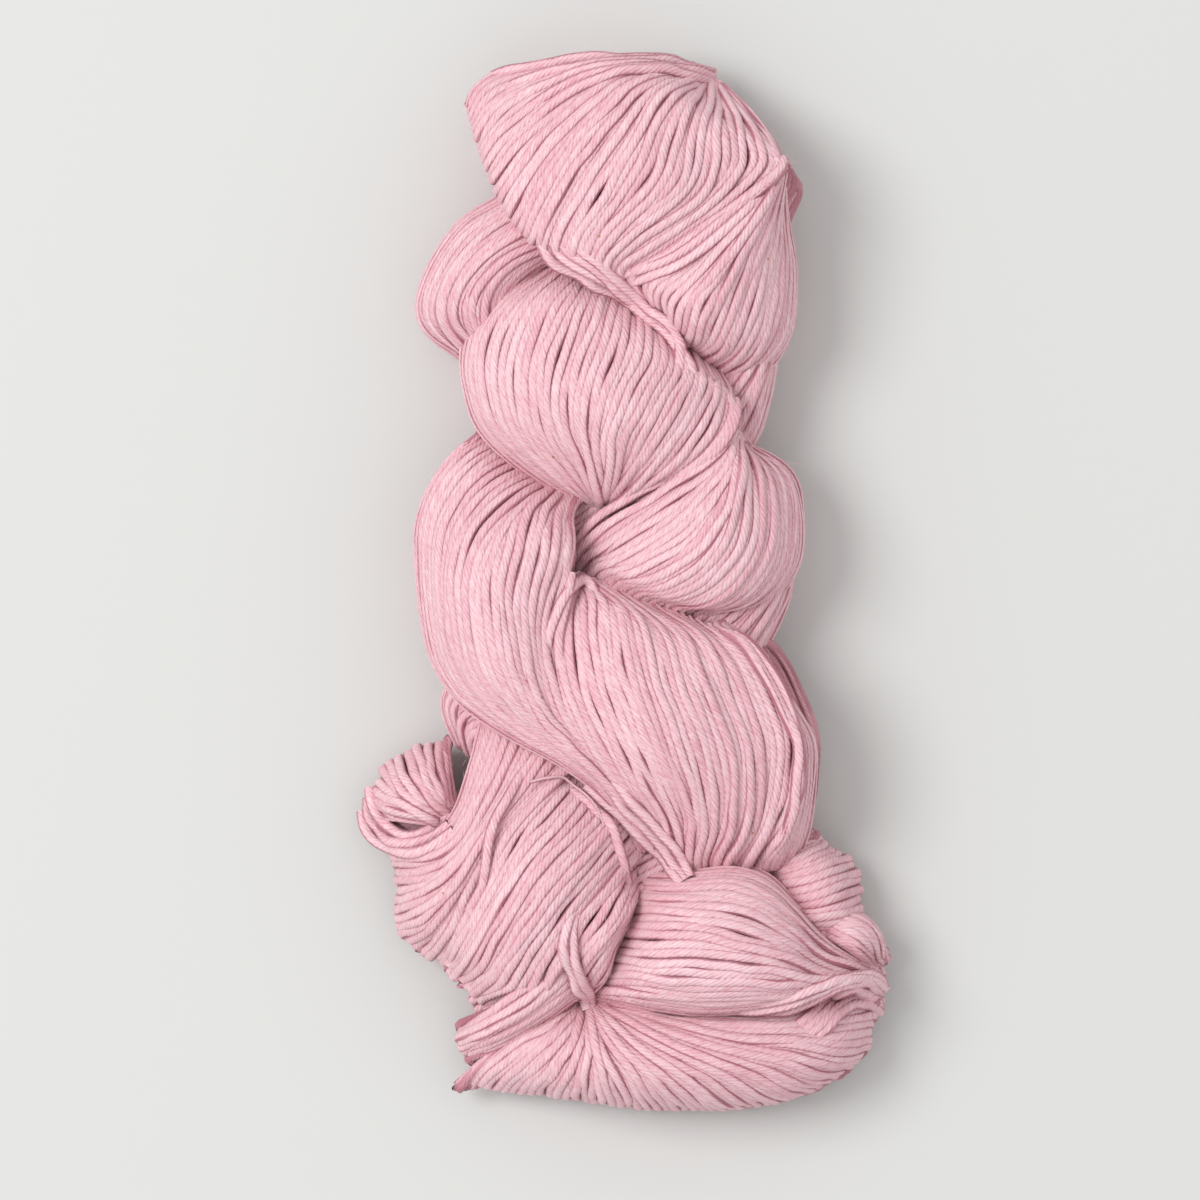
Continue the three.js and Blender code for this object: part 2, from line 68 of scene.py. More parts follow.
# A lobe has its count of guide strands, the shares of its length from which its left and its right
# edge run on into the next lobe, and its rows. Rows follow the strands. Columns: x, y of each guide
# strand from the left edge to the right edge, then the heights of the left edge, crown and right
# edge, and the depth of the belly below the edges.
TOP_LOBES = {
    "crown": (6, None, 0.4, [
        [9, 131.5, 12.5, 131, 16, 130, 19.3, 128.8, 22, 127.6, 24.5, 126, 14, 18, 16, 4],
        [1, 132.3, 6.5, 131, 11.5, 129, 16.5, 126.3, 22.5, 121.5, 31, 119.8, 16, 28, 24, 11],
        [-6.5, 132.5, 0, 130.3, 6.5, 127.3, 12.8, 123.5, 21.5, 116.8, 36.2, 113.3, 17, 37, 30, 15],
        [-13.5, 132, -6, 128.6, 0.7, 124.3, 9, 118.3, 20.3, 111.2, 38.8, 108.8, 18, 41, 33, 16],
        [-19, 131.4, -11, 125.7, -4, 119.5, 6, 112, 19.8, 105.5, 38.7, 104.6, 19, 43, 38, 16],
        [-27, 130.4, -18, 120.7, -10, 112.5, 2.5, 104.5, 17, 98.5, 30, 97, 19, 44, 42, 16],
        [-33, 129.3, -24, 115, -15.5, 105, -3, 96.5, 9, 91, 19, 89, 19, 44, 43.5, 16],
        [-37.5, 126.5, -29, 109.8, -20.5, 97.5, -8.5, 89, 1, 84.5, 8, 81, 20, 43, 42, 15],
        [-39.8, 123.5, -32.5, 105.5, -24, 91, -12, 82, -4, 79, 1.2, 77.5, 20, 41, 39, 13],
        [-40.8, 120.5, -34.5, 102.7, -25.5, 87, -11.5, 78, -3, 74.5, 1.5, 73, 20, 38, 36, 10],
        [-41, 118.5, -35.5, 101.5, -26, 85.5, -8, 75, 1.5, 70.5, 6.5, 66.8, 20, 33, 31, 6]]),
    "fan": (3, 0, None, [
        [38, 108, 41.3, 105.5, 41, 102.5, 28, 24, 17, 8],
        [35, 102.5, 39.3, 99.5, 40.6, 97.5, 37, 36, 20, 14],
        [27, 95.5, 35.5, 92, 41.7, 90, 41, 42, 21, 16],
        [17, 88, 30, 83, 43.2, 81, 43.5, 45, 21, 16],
        [8, 81, 24.5, 73, 43.5, 71.5, 42, 46, 21, 16],
        [1, 77.5, 20.5, 65, 42, 62, 38, 44, 21, 14],
        [1.5, 72.5, 18.5, 59.5, 37.5, 54.5, 34, 38, 21, 11],
        [5.5, 67.5, 15.5, 57.3, 30.5, 49.5, 30, 31, 20, 8],
        [9.5, 63, 13.8, 57.5, 26, 48, 26, 26, 19, 5]]),
    "upper": (4, None, 0.3, [
        [-14, 88, -5, 83.5, 7, 72.5, 20, 61.5, 18, 22, 16, 8],
        [-32.5, 74.5, -13, 72, 9.5, 61, 26, 51, 21, 38, 26, 14],
        [-39.7, 67, -17, 63, 9.5, 54.5, 28, 46.5, 21, 43, 32, 16],
        [-42.4, 58, -19.5, 54.5, 6.3, 48.5, 27.5, 42.8, 21, 46, 36, 16],
        [-41.5, 48, -20, 45.5, 3.5, 42, 26, 38.5, 21, 47, 38, 16],
        [-38, 38.5, -18.5, 37.5, 0.5, 36, 22, 33, 21, 45, 38, 16],
        [-28.5, 29, -14.5, 29.5, -1, 29, 15, 27, 22, 41, 37, 14],
        [-16, 21, -10, 22, -3, 22.5, 6, 21, 23, 35, 33, 10],
        [-6.5, 16.5, -6, 17, -5.5, 17.5, -4, 17, 22, 26, 27, 5]]),
    "right": (4, 0, None, [
        [27.5, 41, 28.8, 38.5, 30, 36.5, 31, 35.5, 33, 30, 20, 6],
        [24, 35, 28, 31.5, 32.5, 31.5, 38, 32.5, 37, 37, 20, 14],
        [17, 30, 25.5, 25, 34, 25, 43.5, 27, 37, 41, 19, 16],
        [8, 26, 21.5, 17, 34, 15, 45.2, 17, 36, 44, 19, 16],
        [0, 22, 16, 10, 31, 6, 44.8, 7, 34, 45, 19, 16],
        [-7.5, 17.5, 8, 5, 25.5, -1.5, 41.5, -0.5, 31, 43, 19, 15],
        [-11, 14, 0.5, 1.5, 18, -6, 35.5, -6, 30, 39, 19, 10],
        [-14, 9.5, -4.5, 0.5, 11, -6.5, 28, -9.5, 27, 33, 20, 8],
        [-17.5, 3, -8, -6, 8, -12, 25, -14.5, 23, 25, 18, 5]]),
    "mainLeft": (4, None, 0.35, [
        [-36, 39, -20, 28, -18, 26, -10, 23, 16, 26, 26, 8],
        [-44, 33.7, -27, 24.5, -23.5, 21.5, -12.5, 17.5, 19, 34, 31, 14],
        [-50.3, 25, -34.5, 18.5, -27, 15, -12, 12, 20, 39, 36, 16],
        [-53.8, 15, -40, 11, -29, 7, -12.5, 5, 20, 42, 39, 16],
        [-53.6, 3, -42.5, 1, -30.5, -1.5, -15, -2.5, 20, 44, 41, 16],
        [-52, -11, -41.5, -12, -29.5, -13, -17, -12, 20, 44, 42, 16],
        [-48.8, -21.5, -38, -23, -27.5, -23.5, -16.5, -22, 20, 43, 42, 16],
        [-41.5, -31, -32, -31.5, -23.5, -32.5, -14, -32, 25, 41, 42, 15],
        [-30, -38.7, -23, -39, -16, -40, -9.5, -40, 30, 40, 41, 14],
        [-18, -45, -13, -46, -8.5, -47, -4, -48, 33, 39, 39, 12],
        [-7, -53, -4, -54, -1, -55, 3, -56, 32, 35, 34, 8],
        [5, -67.5, 6.5, -67.5, 8, -67, 10, -66.5, 26, 28, 28, 5]]),
    "mainMiddle": (4, 0.15, 0, [
        [-11.5, 3.5, -9.5, 2.5, -5, 1, 19.5, -8.8, 28, 32, 30, 6],
        [-16, -3, -4, -3.5, 8, -8, 26.3, -12.8, 37, 40, 36, 14],
        [-17.5, -12, -3, -12, 12, -15, 32.5, -20.3, 41, 45, 38, 16],
        [-17, -22, -1, -23, 15, -25.5, 37.2, -29, 42, 47, 38, 16],
        [-14, -32, 2, -33, 19, -35.5, 40, -38.5, 42, 47, 38, 16],
        [-9.5, -41, 5.5, -43, 21.5, -45, 40.2, -46.5, 41, 45, 36, 16],
        [-4, -49.5, 9.5, -52, 22.5, -54, 38.5, -55, 38, 41, 34, 15],
        [2.5, -57.5, 12.5, -60.5, 22, -62, 35, -63, 33, 36, 32, 12],
        [6.5, -65, 13, -69, 19.5, -70, 30.5, -70, 28, 30, 28, 9],
        [7.5, -71.5, 14, -75, 20, -76, 29, -75.5, 23, 23, 20, 5]]),
    "mainEdge": (3, 0, None, [
        [19, -9, 23, -8.7, 27, -8.8, 32, 31, 24, 6],
        [26, -12.8, 30, -13, 33.5, -14.5, 36, 35, 21, 12],
        [32.5, -20.5, 36, -21, 38.7, -23, 37, 37, 19, 14],
        [37, -29, 40.5, -30, 43.9, -31, 37, 38, 19, 15],
        [39.5, -38, 44, -38.5, 48.1, -39, 36, 38, 19, 15],
        [39.5, -46, 44, -46.3, 48.5, -46.5, 35, 37, 19, 15],
        [38, -55, 43, -55.2, 47.8, -55, 33, 34, 19, 14],
        [34, -63.5, 40, -63.5, 46.5, -62.5, 30, 31, 18, 13],
        [29, -72, 36, -72.5, 43, -71, 24, 25, 17, 10]]),
    "tuft": (5, None, None, [
        [-41.5, -57, -43, -58, -44.5, -59.5, -45, -60.5, -44, -62, 20, 25, 22, 10],
        [-42.6, -50, -47.5, -51, -51.5, -54, -52.5, -57.5, -51.5, -61, 16, 28, 20, 14],
        [-43.5, -44, -50, -45, -57.5, -49.5, -59.5, -55, -58.5, -60, 13, 23, 16, 12],
        [-43.5, -37.2, -51.5, -38.8, -61, -43.8, -66, -52.5, -63, -59.5, 8, 10, 8, 7]]),
    "sweepLeft": (5, None, 0, [
        [-35.5, -27, -29, -30, -22.5, -33.5, -16, -37, -9, -40, 19, 27, 28, 8],
        [-38.3, -37, -32.5, -39.5, -27, -42, -21.5, -44, -15.5, -46, 21, 31, 32, 12],
        [-40.8, -46, -36.5, -49.5, -32.5, -52, -28, -53, -22.5, -53, 21, 35, 36, 15],
        [-43.6, -55, -41, -58.5, -38.5, -61, -34.5, -62, -29.5, -61, 23, 38, 39.5, 16],
        [-47.5, -60, -46, -64.5, -43.5, -68.5, -40, -71, -34.5, -70.5, 22, 36, 39, 16],
        [-54, -61.3, -52, -67, -49, -74, -45.5, -79, -39, -80, 18, 31, 34, 15],
        [-59.5, -60, -57, -67.5, -54.8, -77, -52, -86, -43.8, -90.5, 13, 22, 25, 12],
        [-63, -58, -60.5, -67, -59.4, -78.5, -58, -88.3, -47.5, -97, 8, 10, 9, 7]]),
    "sweepMain": (4, 0, 0, [
        [-9, -40, -2, -47, 4, -56, 7, -64, 20, 24, 24, 8],
        [-15.5, -46, -8, -54, -2, -62, 1, -70, 29, 33, 31, 12],
        [-22.5, -53, -14.5, -61.5, -8.5, -69, -4, -76, 36, 40, 37, 15],
        [-29.5, -61, -22.5, -69, -15.5, -76.5, -9.5, -82.5, 39.5, 44, 39, 16],
        [-34.5, -70.5, -28.5, -78, -21.5, -84.5, -14, -89.5, 39, 44, 40, 16],
        [-39, -80, -33.5, -86.5, -27, -92, -18, -96.5, 34, 40, 37, 15],
        [-43.8, -90.5, -38.5, -95.5, -32.5, -100.5, -23.5, -104.5, 25, 30, 30, 13],
        [-47.5, -97, -44.5, -101, -41.5, -106, -38, -110.5, 9, 11, 11, 7]]),
    "sweepEdge": (3, 0, None, [
        [2, -69, 5, -74.5, 4, -83.5, 27, 20, 14, 8],
        [-2, -73.5, 2.5, -79.5, 1.5, -87.3, 34, 33, 22, 12],
        [-6.5, -79, -1.5, -85, -1.5, -91.5, 38, 38, 27, 15],
        [-11.5, -85.5, -6, -90.5, -2.8, -96, 39.5, 39, 29, 15],
        [-15.5, -92, -10, -96, -5, -100.3, 37, 36, 26, 12],
        [-18, -99, -13, -101.5, -10, -104.5, 28, 27, 20, 5]]),
    "tail": (3, 0, None, [
        [-14, -90, -11.5, -96, -10.5, -103, 36, 34, 24, 8],
        [-23, -97.5, -19, -103, -16, -107.5, 35, 33, 24, 12],
        [-33, -104, -28.5, -109.5, -24, -113.3, 28, 29, 20, 11],
        [-39.5, -108.5, -37, -114, -33, -118, 18, 23, 15, 10],
        [-43, -111, -44.5, -116.5, -41.3, -121, 9, 10, 8, 6]]),
    "long": (4, None, None, [
        [65.3, -96.5, 65.8, -98.5, 65.5, -100, 63.3, -102.5, 10, 13, 11, 6],
        [57.5, -92, 57, -96, 57, -99, 57, -102, 17, 30, 22, 12],
        [50.5, -87, 49, -94, 49, -99, 49.5, -103, 19, 37, 25, 14],
        [43.5, -79.5, 41.5, -90, 41.5, -98.5, 42, -106, 21, 43, 25, 16],
        [36.5, -72, 33, -86, 32, -97.5, 31, -107.8, 22, 46, 24, 16],
        [27, -69, 22, -83, 20, -97, 18, -108.4, 22, 46, 23, 16],
        [14, -70.2, 10, -82, 7, -96, 4, -107.2, 21, 43, 22, 15],
        [1, -69.5, -2, -82, -7, -95, -11, -104, 18, 28, 18, 8]]),
    "fold": (3, None, None, [
        [48, -61.2, 58.8, -71, 60.8, -86, 8, 10, 9, 6],
        [44.5, -63, 52.5, -72.5, 55.8, -87, 14, 24, 18, 13],
        [39, -65.5, 44, -75.5, 49, -88, 16, 26, 21, 13],
        [33, -68, 37, -77, 41, -87, 14, 20, 18, 8]]),
    "foldEdge": (3, None, None, [
        [66.3, -95, 64, -97.5, 61, -99, 8, 12, 9, 6],
        [64.3, -86.5, 61, -91.5, 58, -95.5, 14, 23, 16, 10],
        [59, -81.5, 57, -87.5, 55, -93, 15, 26, 18, 12],
        [52, -80.5, 52, -86, 51, -91, 15, 25, 18, 12],
        [44, -79, 45, -84, 46, -90, 14, 18, 14, 8]]),
    "bottomFan": (6, None, None, [
        [-12, -102, -11, -104, -9.5, -104, -7.5, -104, -6, -104, -5, -103.5, 18, 24, 20, 8],
        [-20, -107, -12.5, -112, -5, -113, 5, -112, 12, -109, 14, -106, 22, 33, 24, 15],
        [-28, -111, -15, -118.5, 0, -120, 17, -118, 28, -113, 32, -106.5, 20, 36, 25, 16],
        [-34, -116, -17, -124, 5, -126.3, 28, -123.5, 43, -116, 46, -105, 16, 33, 24, 16],
        [-39.8, -121.5, -18.5, -127.3, 8.5, -130.6, 36, -128.5, 54, -119, 57, -103.5, 12, 25, 19, 14],
        [-43.8, -127.3, -19, -129.6, 10, -133, 40.5, -130.5, 61, -118.5, 64.2, -103.5, 8, 10, 9, 7]]),
}

UNDER_LOBES = {
    "shoulder": (3, None, None, [
        [2, 125, 18, 120, 33, 112, 9, 16, 10, 12],
        [-20, 111, -4, 105, 14, 96, 12, 24, 14, 16],
        [-31, 99.5, -20, 91, -6, 84, 14, 29, 18, 17],
        [-41.7, 92.7, -31, 84.5, -20, 79, 14, 33, 20, 17],
        [-49.2, 83, -38, 78, -26, 74, 14, 33, 20, 17],
        [-53.5, 73, -41.5, 72, -28, 70, 13, 32, 20, 17],
        [-53.5, 66.5, -42, 66, -28, 64, 12, 30, 18, 16],
        [-49.2, 60.7, -39, 60, -27, 58, 12, 26, 16, 15],
        [-40, 55, -32, 52, -22, 48, 11, 20, 12, 12]]),
    "underCrown": (3, None, None, [
        [-33, 128, -8, 131, 17, 131, 9, 11, 10, 7],
        [-38, 120, -20, 121, 4, 120, 12, 22, 12, 15],
        [-38, 111, -28, 110, -12, 106, 13, 24, 12, 17],
        [-35, 102, -31, 99, -24, 94, 12, 18, 12, 13]]),
    "underFan": (3, None, None, [
        [24, 124, 33, 114, 40, 102, 10, 16, 12, 10],
        [9, 108, 22, 95, 37, 82, 12, 25, 13, 16],
        [-8, 96, 5, 81, 20, 66, 13, 26, 13, 17],
        [-24, 82, -12, 66, 3, 50, 13, 26, 13, 17],
        [-36, 67, -28, 51, -14, 36, 12, 25, 13, 17],
        [-41, 55, -38.5, 42, -29, 28, 12, 20, 12, 14]]),
    "underUpper": (3, None, None, [
        [37, 97, 39.5, 85, 40.5, 71, 12, 18, 12, 12],
        [34, 82, 37, 68, 38.8, 57, 13, 26, 14, 16],
        [25, 64, 31, 53, 36.6, 45, 13, 28, 15, 17],
        [9, 49, 19, 38, 31, 32, 13, 28, 14, 17],
        [-8, 41, 0, 23, 11, 13, 13, 27, 13, 17],
        [-24, 31, -18, 11, -8, -2, 13, 26, 13, 17],
        [-38, 21, -36, 1, -26, -14, 13, 26, 13, 17],
        [-50, 12, -51.5, -4, -44, -22, 12, 20, 12, 14]]),
    "underRight": (3, None, None, [
        [36, 32, 41.5, 22, 43, 9, 12, 18, 12, 12],
        [30, 27, 37, 12, 42, -3, 13, 26, 14, 16],
        [18, 15, 27, -2, 37.2, -14, 13, 28, 15, 17],
        [2, 3, 12, -15, 28, -28, 13, 28, 14, 17],
        [-14, -7, -6, -26, 10, -42, 13, 27, 13, 17],
        [-31, -16, -23, -34, -10, -52, 13, 26, 13, 17],
        [-46.3, -25, -38, -36, -27, -52, 12, 22, 13, 16],
        [-46.4, -34, -41, -40, -33, -52, 12, 18, 13, 14],
        [-42.3, -42.5, -39, -46, -34, -56, 10, 14, 11, 11]]),
    "underMain": (3, None, None, [
        [35, -23, 41, -34, 46, -46, 12, 18, 12, 12],
        [29, -31, 37, -47, 45.5, -62, 13, 24, 14, 16],
        [12, -43, 22, -60, 34, -78, 13, 26, 14, 17],
        [-6, -51, 4, -71, 16, -92, 13, 26, 13, 17],
        [-24, -57, -16, -79, -4, -101, 13, 26, 13, 17],
        [-41, -64, -36, -84, -26, -104, 12, 24, 13, 16],
        [-56, -70, -54, -86, -44, -101, 9, 15, 10, 9]]),
    "underFold": (3, None, None, [
        [45, -60, 52, -69, 56.5, -80, 11, 17, 11, 12],
        [37, -72, 46, -82, 56, -93, 12, 24, 13, 16],
        [22, -82, 34, -97, 46, -110, 13, 26, 13, 17],
        [4, -92, 16, -109, 30, -123, 13, 26, 13, 17],
        [-14, -98, -4, -115, 10, -129, 12, 22, 12, 15],
        [-28, -104, -23, -117, -14, -127, 10, 16, 10, 11],
        [-38, -111, -38, -119, -34, -125, 8, 11, 8, 8]]),
    "underLong": (3, None, None, [
        [56, -86, 59.5, -96, 61.5, -106, 10, 14, 10, 11],
        [48, -92, 54.5, -104, 59, -116, 11, 19, 11, 14],
        [36, -101, 45, -114, 50, -124.5, 11, 19, 11, 14],
        [20, -111, 30, -122, 34, -130, 10, 18, 10, 12],
        [4, -122, 12, -128, 16, -131.5, 8, 12, 8, 9]]),
    "underTuft": (3, None, None, [
        [-35, -46, -34, -52, -30, -60, 11, 18, 12, 12],
        [-43.5, -52.5, -42, -60, -38, -68, 11, 20, 12, 14],
        [-53, -49, -53, -60, -47, -72, 9, 16, 10, 11],
        [-62, -50, -62, -60, -56, -74, 7, 9, 7, 7]]),
}

# Strands laid over the lobes: their count and width, and rows of x, y of the first and the last
# strand, or of the only one, and how far their tops stand above the lobes' skin, in strand widths.
LAID = {
    "crown_seam": (4, YARN, [
        [-21.5, 84.5, -14, 89, -1.1], [-18.5, 81, -12.5, 84.5, -0.7], [-14, 78.2, -9, 80.8, -0.35],
        [-8, 75, -4.5, 77, -0.15], [-2, 71.4, 0, 73, -0.05], [3, 68, 4.3, 69.6, 0],
        [7.5, 64.7, 8.3, 66.4, 0], [11.5, 61, 11.4, 62.8, 0], [14.5, 57, 13, 58.4, -0.1],
        [16.5, 53, 13.4, 54, -0.5], [17.4, 48, 13, 49, -1.1]]),
    "crown_lip": (5, YARN, [
        [21.8, 128.2, 21, 126.8, -0.9], [17, 130, 16.5, 127.9, 0], [12, 131.4, 11.5, 128.8, 0.15],
        [4, 132, 4, 129, 0.15], [-4, 131.9, -3, 127.8, 0.05], [-12, 131.4, -10, 125, 0],
        [-20, 130.6, -17, 121, -0.2], [-28, 129.4, -23, 116, -0.6], [-34, 127, -28, 111, -1.1]]),
    "crown_gap": (2, YARN, [
        [-2, 77.2, -1, 75, -1.1], [4.2, 78.6, 5, 76.4, -0.2], [10, 80.8, 11, 78.8, 0],
        [16, 84.3, 17, 82.3, 0], [22, 89, 23.2, 87.2, -0.1], [28, 94.6, 29.2, 92.8, -0.3],
        [33.5, 99.6, 34.5, 98, -1.1]]),
    "tuft_turn": (3, YARN, [
        [-44.5, -57, -43, -61, -1.1], [-49, -61, -48.5, -65, -0.3], [-54.5, -62.5, -55, -67.3, 0.1],
        [-60, -60.5, -61, -66, 0.1], [-63.6, -56.5, -65, -61.5, 0], [-64.8, -51.5, -66, -56.5, -0.6]]),
    "pinch": (1, YARN, [
        [-6.5, -3, -1.1], [-8.8, 0.2, -0.3], [-11, 1.2, 0.1], [-14, -1, 0.2], [-16.6, -5, 0.1],
        [-18.4, -9.5, -0.1], [-19.2, -14, -0.5], [-19.2, -19, -1.1]]),
    "gap_crossing": (1, YARN, [
        [-24, -44, -1.1], [-27, -48.5, -0.3], [-29.6, -53, 0.1], [-32.3, -58, 0.2], [-34.3, -64, 0.2],
        [-35, -70, 0.1], [-36.6, -76, -0.3], [-39.5, -82, -1.1]]),
    "tail_crossing": (2, YARN, [
        [-11, -78, -13, -79, -1.1], [-12.8, -83, -14.7, -83.6, -0.4], [-13.6, -88, -15.6, -88.6, 0.05],
        [-12.8, -93, -14.8, -93.8, 0.2], [-11, -98, -12.8, -99, 0.2], [-9.6, -102, -11, -103, 0],
        [-8.8, -106, -9.8, -106.6, -1.1]]),
    "main_rope": (3, YARN, [
        [-10, -49.5, -6, -45.5, -1.1], [-4.5, -55.2, -0.5, -51.3, -0.3], [1, -61, 5, -57.5, 0.1],
        [6, -66.3, 9.5, -63.3, 0.1], [10.3, -70.3, 13, -68.3, 0], [14, -74.5, 16, -73.5, -1.1]]),
    "sweep_rim": (1, YARN, [
        [-16, -50, -1.1], [-11.5, -52.2, -0.3], [-7.5, -55.5, 0], [-4, -59.5, 0.1], [-1.8, -64, 0.1],
        [-0.3, -69, -0.2], [0.5, -74, -1.1]]),
    "thin_thread": (1, 0.8, [
        [-24, -49, -0.5], [-21, -48.2, 0.1], [-17, -48, 0.3], [-12.5, -49.8, 0.3], [-9, -53, 0.3],
        [-6.8, -56.5, 0.1], [-5.4, -60, -0.5]]),
    "long_curl": (3, YARN, [
        [26, -107.6, 27, -105, -2.4], [32, -107.5, 34, -104.5, -1.3], [39, -106.3, 41, -102.8, -0.5],
        [45.5, -104, 46.5, -100.9, 0], [49.5, -101.8, 50.5, -99.4, 0.1], [53, -99.9, 54, -98, 0.2],
        [57, -99.3, 57.8, -97.4, 0.1], [61, -100.2, 61.8, -98.4, 0], [64.2, -102.5, 65, -101, -0.9]]),
    "fan_curl": (4, YARN, [
        [36, -112, 40, -114.5, -2], [40.5, -111, 45, -113.6, -1.1], [44, -109, 48.8, -111.8, -0.2],
        [46.8, -106.9, 51.2, -109.4, 0.2], [49.8, -104.6, 53.2, -107, 0.4], [52.8, -102.3, 56, -105.4, 0.4],
        [56.4, -101, 59, -104.6, 0.3], [60, -101.6, 61.8, -105.2, 0.1], [63.5, -104, 64, -107.4, -0.8]]),
}

# Lines along which neighbouring strands part and show a dark gap: width, then x, y along it.
PARTINGS = [
    (2.9, [3, -58.5, 4.8, -62.5, 7, -67]),
    (1.9, [-33.5, -66, -35.5, -71.5, -38, -77, -41, -84]),
    (1.7, [40, -36, 40.6, -42, 40, -47, 38.4, -53, 38.2, -59, 37, -65, 35, -70.5]),
    (1.2, [43.6, -45.5, 42, -50, 41, -57]),
    (1.1, [20, -10.5, 24, -13, 28, -15.5, 31, -18.5]),
    (1.1, [-1, -37, 1, -44, 1, -49]),
    (1.4, [3, -36, 4.5, -42, 5, -47, 7, -52]),
    (1.1, [12.5, -33, 15, -40, 16.5, -46.5]),
    (1.0, [8, -58.5, 10.5, -62, 11.2, -67]),
    (1.1, [13.5, -55, 15.5, -60, 16.8, -65]),
    (1.1, [-5, -11, -2, -16, 0.3, -21, 0.7, -28]),
    (1.0, [-15.2, -1.5, -16.5, -4, -18.8, -10.5]),
    (1.0, [-23.8, -33.5, -22.6, -38, -19, -41.5]),
    (0.9, [-18.5, -33, -17, -38, -15.8, -40.5]),
    (0.9, [-12.5, -35, -11.6, -40, -10.4, -44]),
    (1.2, [17, 36.5, 12, 32, 8, 29.5, 2, 24.5]),
    (0.9, [22, 44, 19.5, 39, 16, 34]),
    (1.0, [9, 27, 5, 23, 0, 19.5]),
    (0.9, [17.5, 27, 12, 20, 9, 17]),
    (1.0, [25, 25, 23.6, 21, 21, 17.5]),
    (1.0, [14, 76, 10.5, 70, 8, 66]),
    (1.1, [22, 76, 19, 70, 15.4, 66]),
    (0.9, [31.5, 76, 30.8, 70, 30.9, 62]),
    (1.0, [38.4, 84, 38.4, 78, 36, 71, 35.8, 65]),
    (0.8, [13, 102, 12.5, 99, 8, 94.5]),
    (0.8, [19, 98.5, 14, 95, 8, 90, 4, 87]),
    (0.7, [5, 104, 4.5, 99, 0.5, 95]),
    (0.8, [-4.5, 104, -5.2, 99, -9, 94, -10.8, 90]),
    (0.7, [13, 127.5, 10, 122, 7, 116.5]),
    (0.8, [-8, 127.5, -14, 122.5, -19, 118.5, -25, 114]),
    (0.7, [-23, 99, -26, 94.5, -26, 90]),
    (0.9, [29, -92.5, 35, -96.5, 42, -100, 48, -101]),
    (0.8, [38, -92.5, 44, -96.5, 50, -98.6]),
    (0.8, [46, -88, 51, -93, 57, -96.5]),
    (0.7, [8, -96, 14, -98.5, 19, -99.5]),
    (1.0, [-14, -106, -15, -113, -14, -120, -14.5, -127]),
    (0.9, [-12, -106, -11.5, -113, -13, -121]),
    (1.0, [-9, -107, -5, -116, -2.5, -123, -0.5, -130]),
    (0.8, [-7.5, -118, -9.5, -124, -10, -130]),
    (0.8, [17, -122, 21, -126, 27, -131]),
    (1.0, [-26, -93, -27, -97, -28, -99.5]),
    (0.8, [-33, -84, -31.5, -88, -34, -93]),
    (0.8, [-13, -86, -16.5, -90, -20, -93]),
    (2.4, [-44, -57, -43, -51, -42, -46]),
    (1.9, [-46.5, -56.5, -48.6, -52, -47.5, -46.5]),
    (1.2, [-48, -56.5, -53, -52, -56, -49]),
    (1.0, [-50, -55.5, -51.5, -50, -53, -45.5]),
    (1.0, [-51, -57.5, -57, -55.5, -61, -52.5]),
]

LATTICE_SIZE = 64
TINY = 1e-9
rng = np.random.default_rng(SEED)
lattice = rng.random((LATTICE_SIZE, LATTICE_SIZE))


def smooth_step(x):
    """Smooth rise from 0 at 0 to 1 at 1."""
    x = np.clip(x, 0, 1)
    return x * x * (3 - 2 * x)


def unit(v):
    """The same directions at length 1."""
    return v / np.maximum(np.linalg.norm(v, axis=-1, keepdims=True), TINY)


def lengths(path):
    """Distance along a path to each of its points."""
    return np.concatenate([[0], np.cumsum(np.linalg.norm(np.diff(path, axis=0), axis=1))])


def rounded_shares(count):
    """Shares from 0 to 1 that crowd towards both ends, where a round form is steep."""
    return (1 - np.cos(math.pi * np.linspace(0, 1, count))) / 2


def through(points, u):
    """Points at shares u of the uniform Catmull-Rom curve through the rows of points."""
    count = len(points)
    x = np.clip(u, 0, 1) * (count - 1)
    i = np.minimum(x.astype(int), count - 2)
    w = (x - i)[:, None]
    padded = np.vstack([2 * points[0] - points[1], points, 2 * points[-1] - points[-2]])
    a, b, c, d = padded[i], padded[i + 1], padded[i + 2], padded[i + 3]
    start, end = (c - a) / 2, (d - b) / 2
    return (2 * b - 2 * c + start + end) * w**3 + (3 * c - 3 * b - 2 * start - end) * w**2 + start * w + b


def lattice_line(i, j, w):
    """Values of the lattice in row j, at share w from column i to the next."""
    row = j % LATTICE_SIZE
    return lattice[i % LATTICE_SIZE, row] * (1 - w) + lattice[(i + 1) % LATTICE_SIZE, row] * w


def noise(x, y):
    """Smooth noise from -1 to 1."""
    x, y = np.broadcast_arrays(np.asarray(x, float), np.asarray(y, float))
    i, j = np.floor(x).astype(int), np.floor(y).astype(int)
    fx, fy = smooth_step(x - i), smooth_step(y - j)
    return 2 * (lattice_line(i, j, fx) * (1 - fy) + lattice_line(i, j + 1, fx) * fy) - 1


# The strands of a lobe go once round it: along the upper face, over the far end, back under the
# belly and over the near end. Stations are the steps of that loop.
BODY_STATIONS = 60
END_STATIONS = 8


def loop_stations():
    """For each station of the loop: share along the lobe, fullness, and 1 above or -1 below."""
    turn = np.linspace(0, math.pi / 2, END_STATIONS, endpoint=False)
    near = END_ROUNDING * (1 - np.cos(turn))
    body = np.linspace(END_ROUNDING, 1 - END_ROUNDING, BODY_STATIONS)
    along = np.concatenate([near, body, 1 - near[::-1]])
    full = np.concatenate([np.sin(turn), np.ones(BODY_STATIONS), np.sin(turn)[::-1]])
    face = np.concatenate([np.ones(len(along)), -np.ones(len(along) - 2)])
    return np.concatenate([along, along[-2:0:-1]]), np.concatenate([full, full[-2:0:-1]]), face


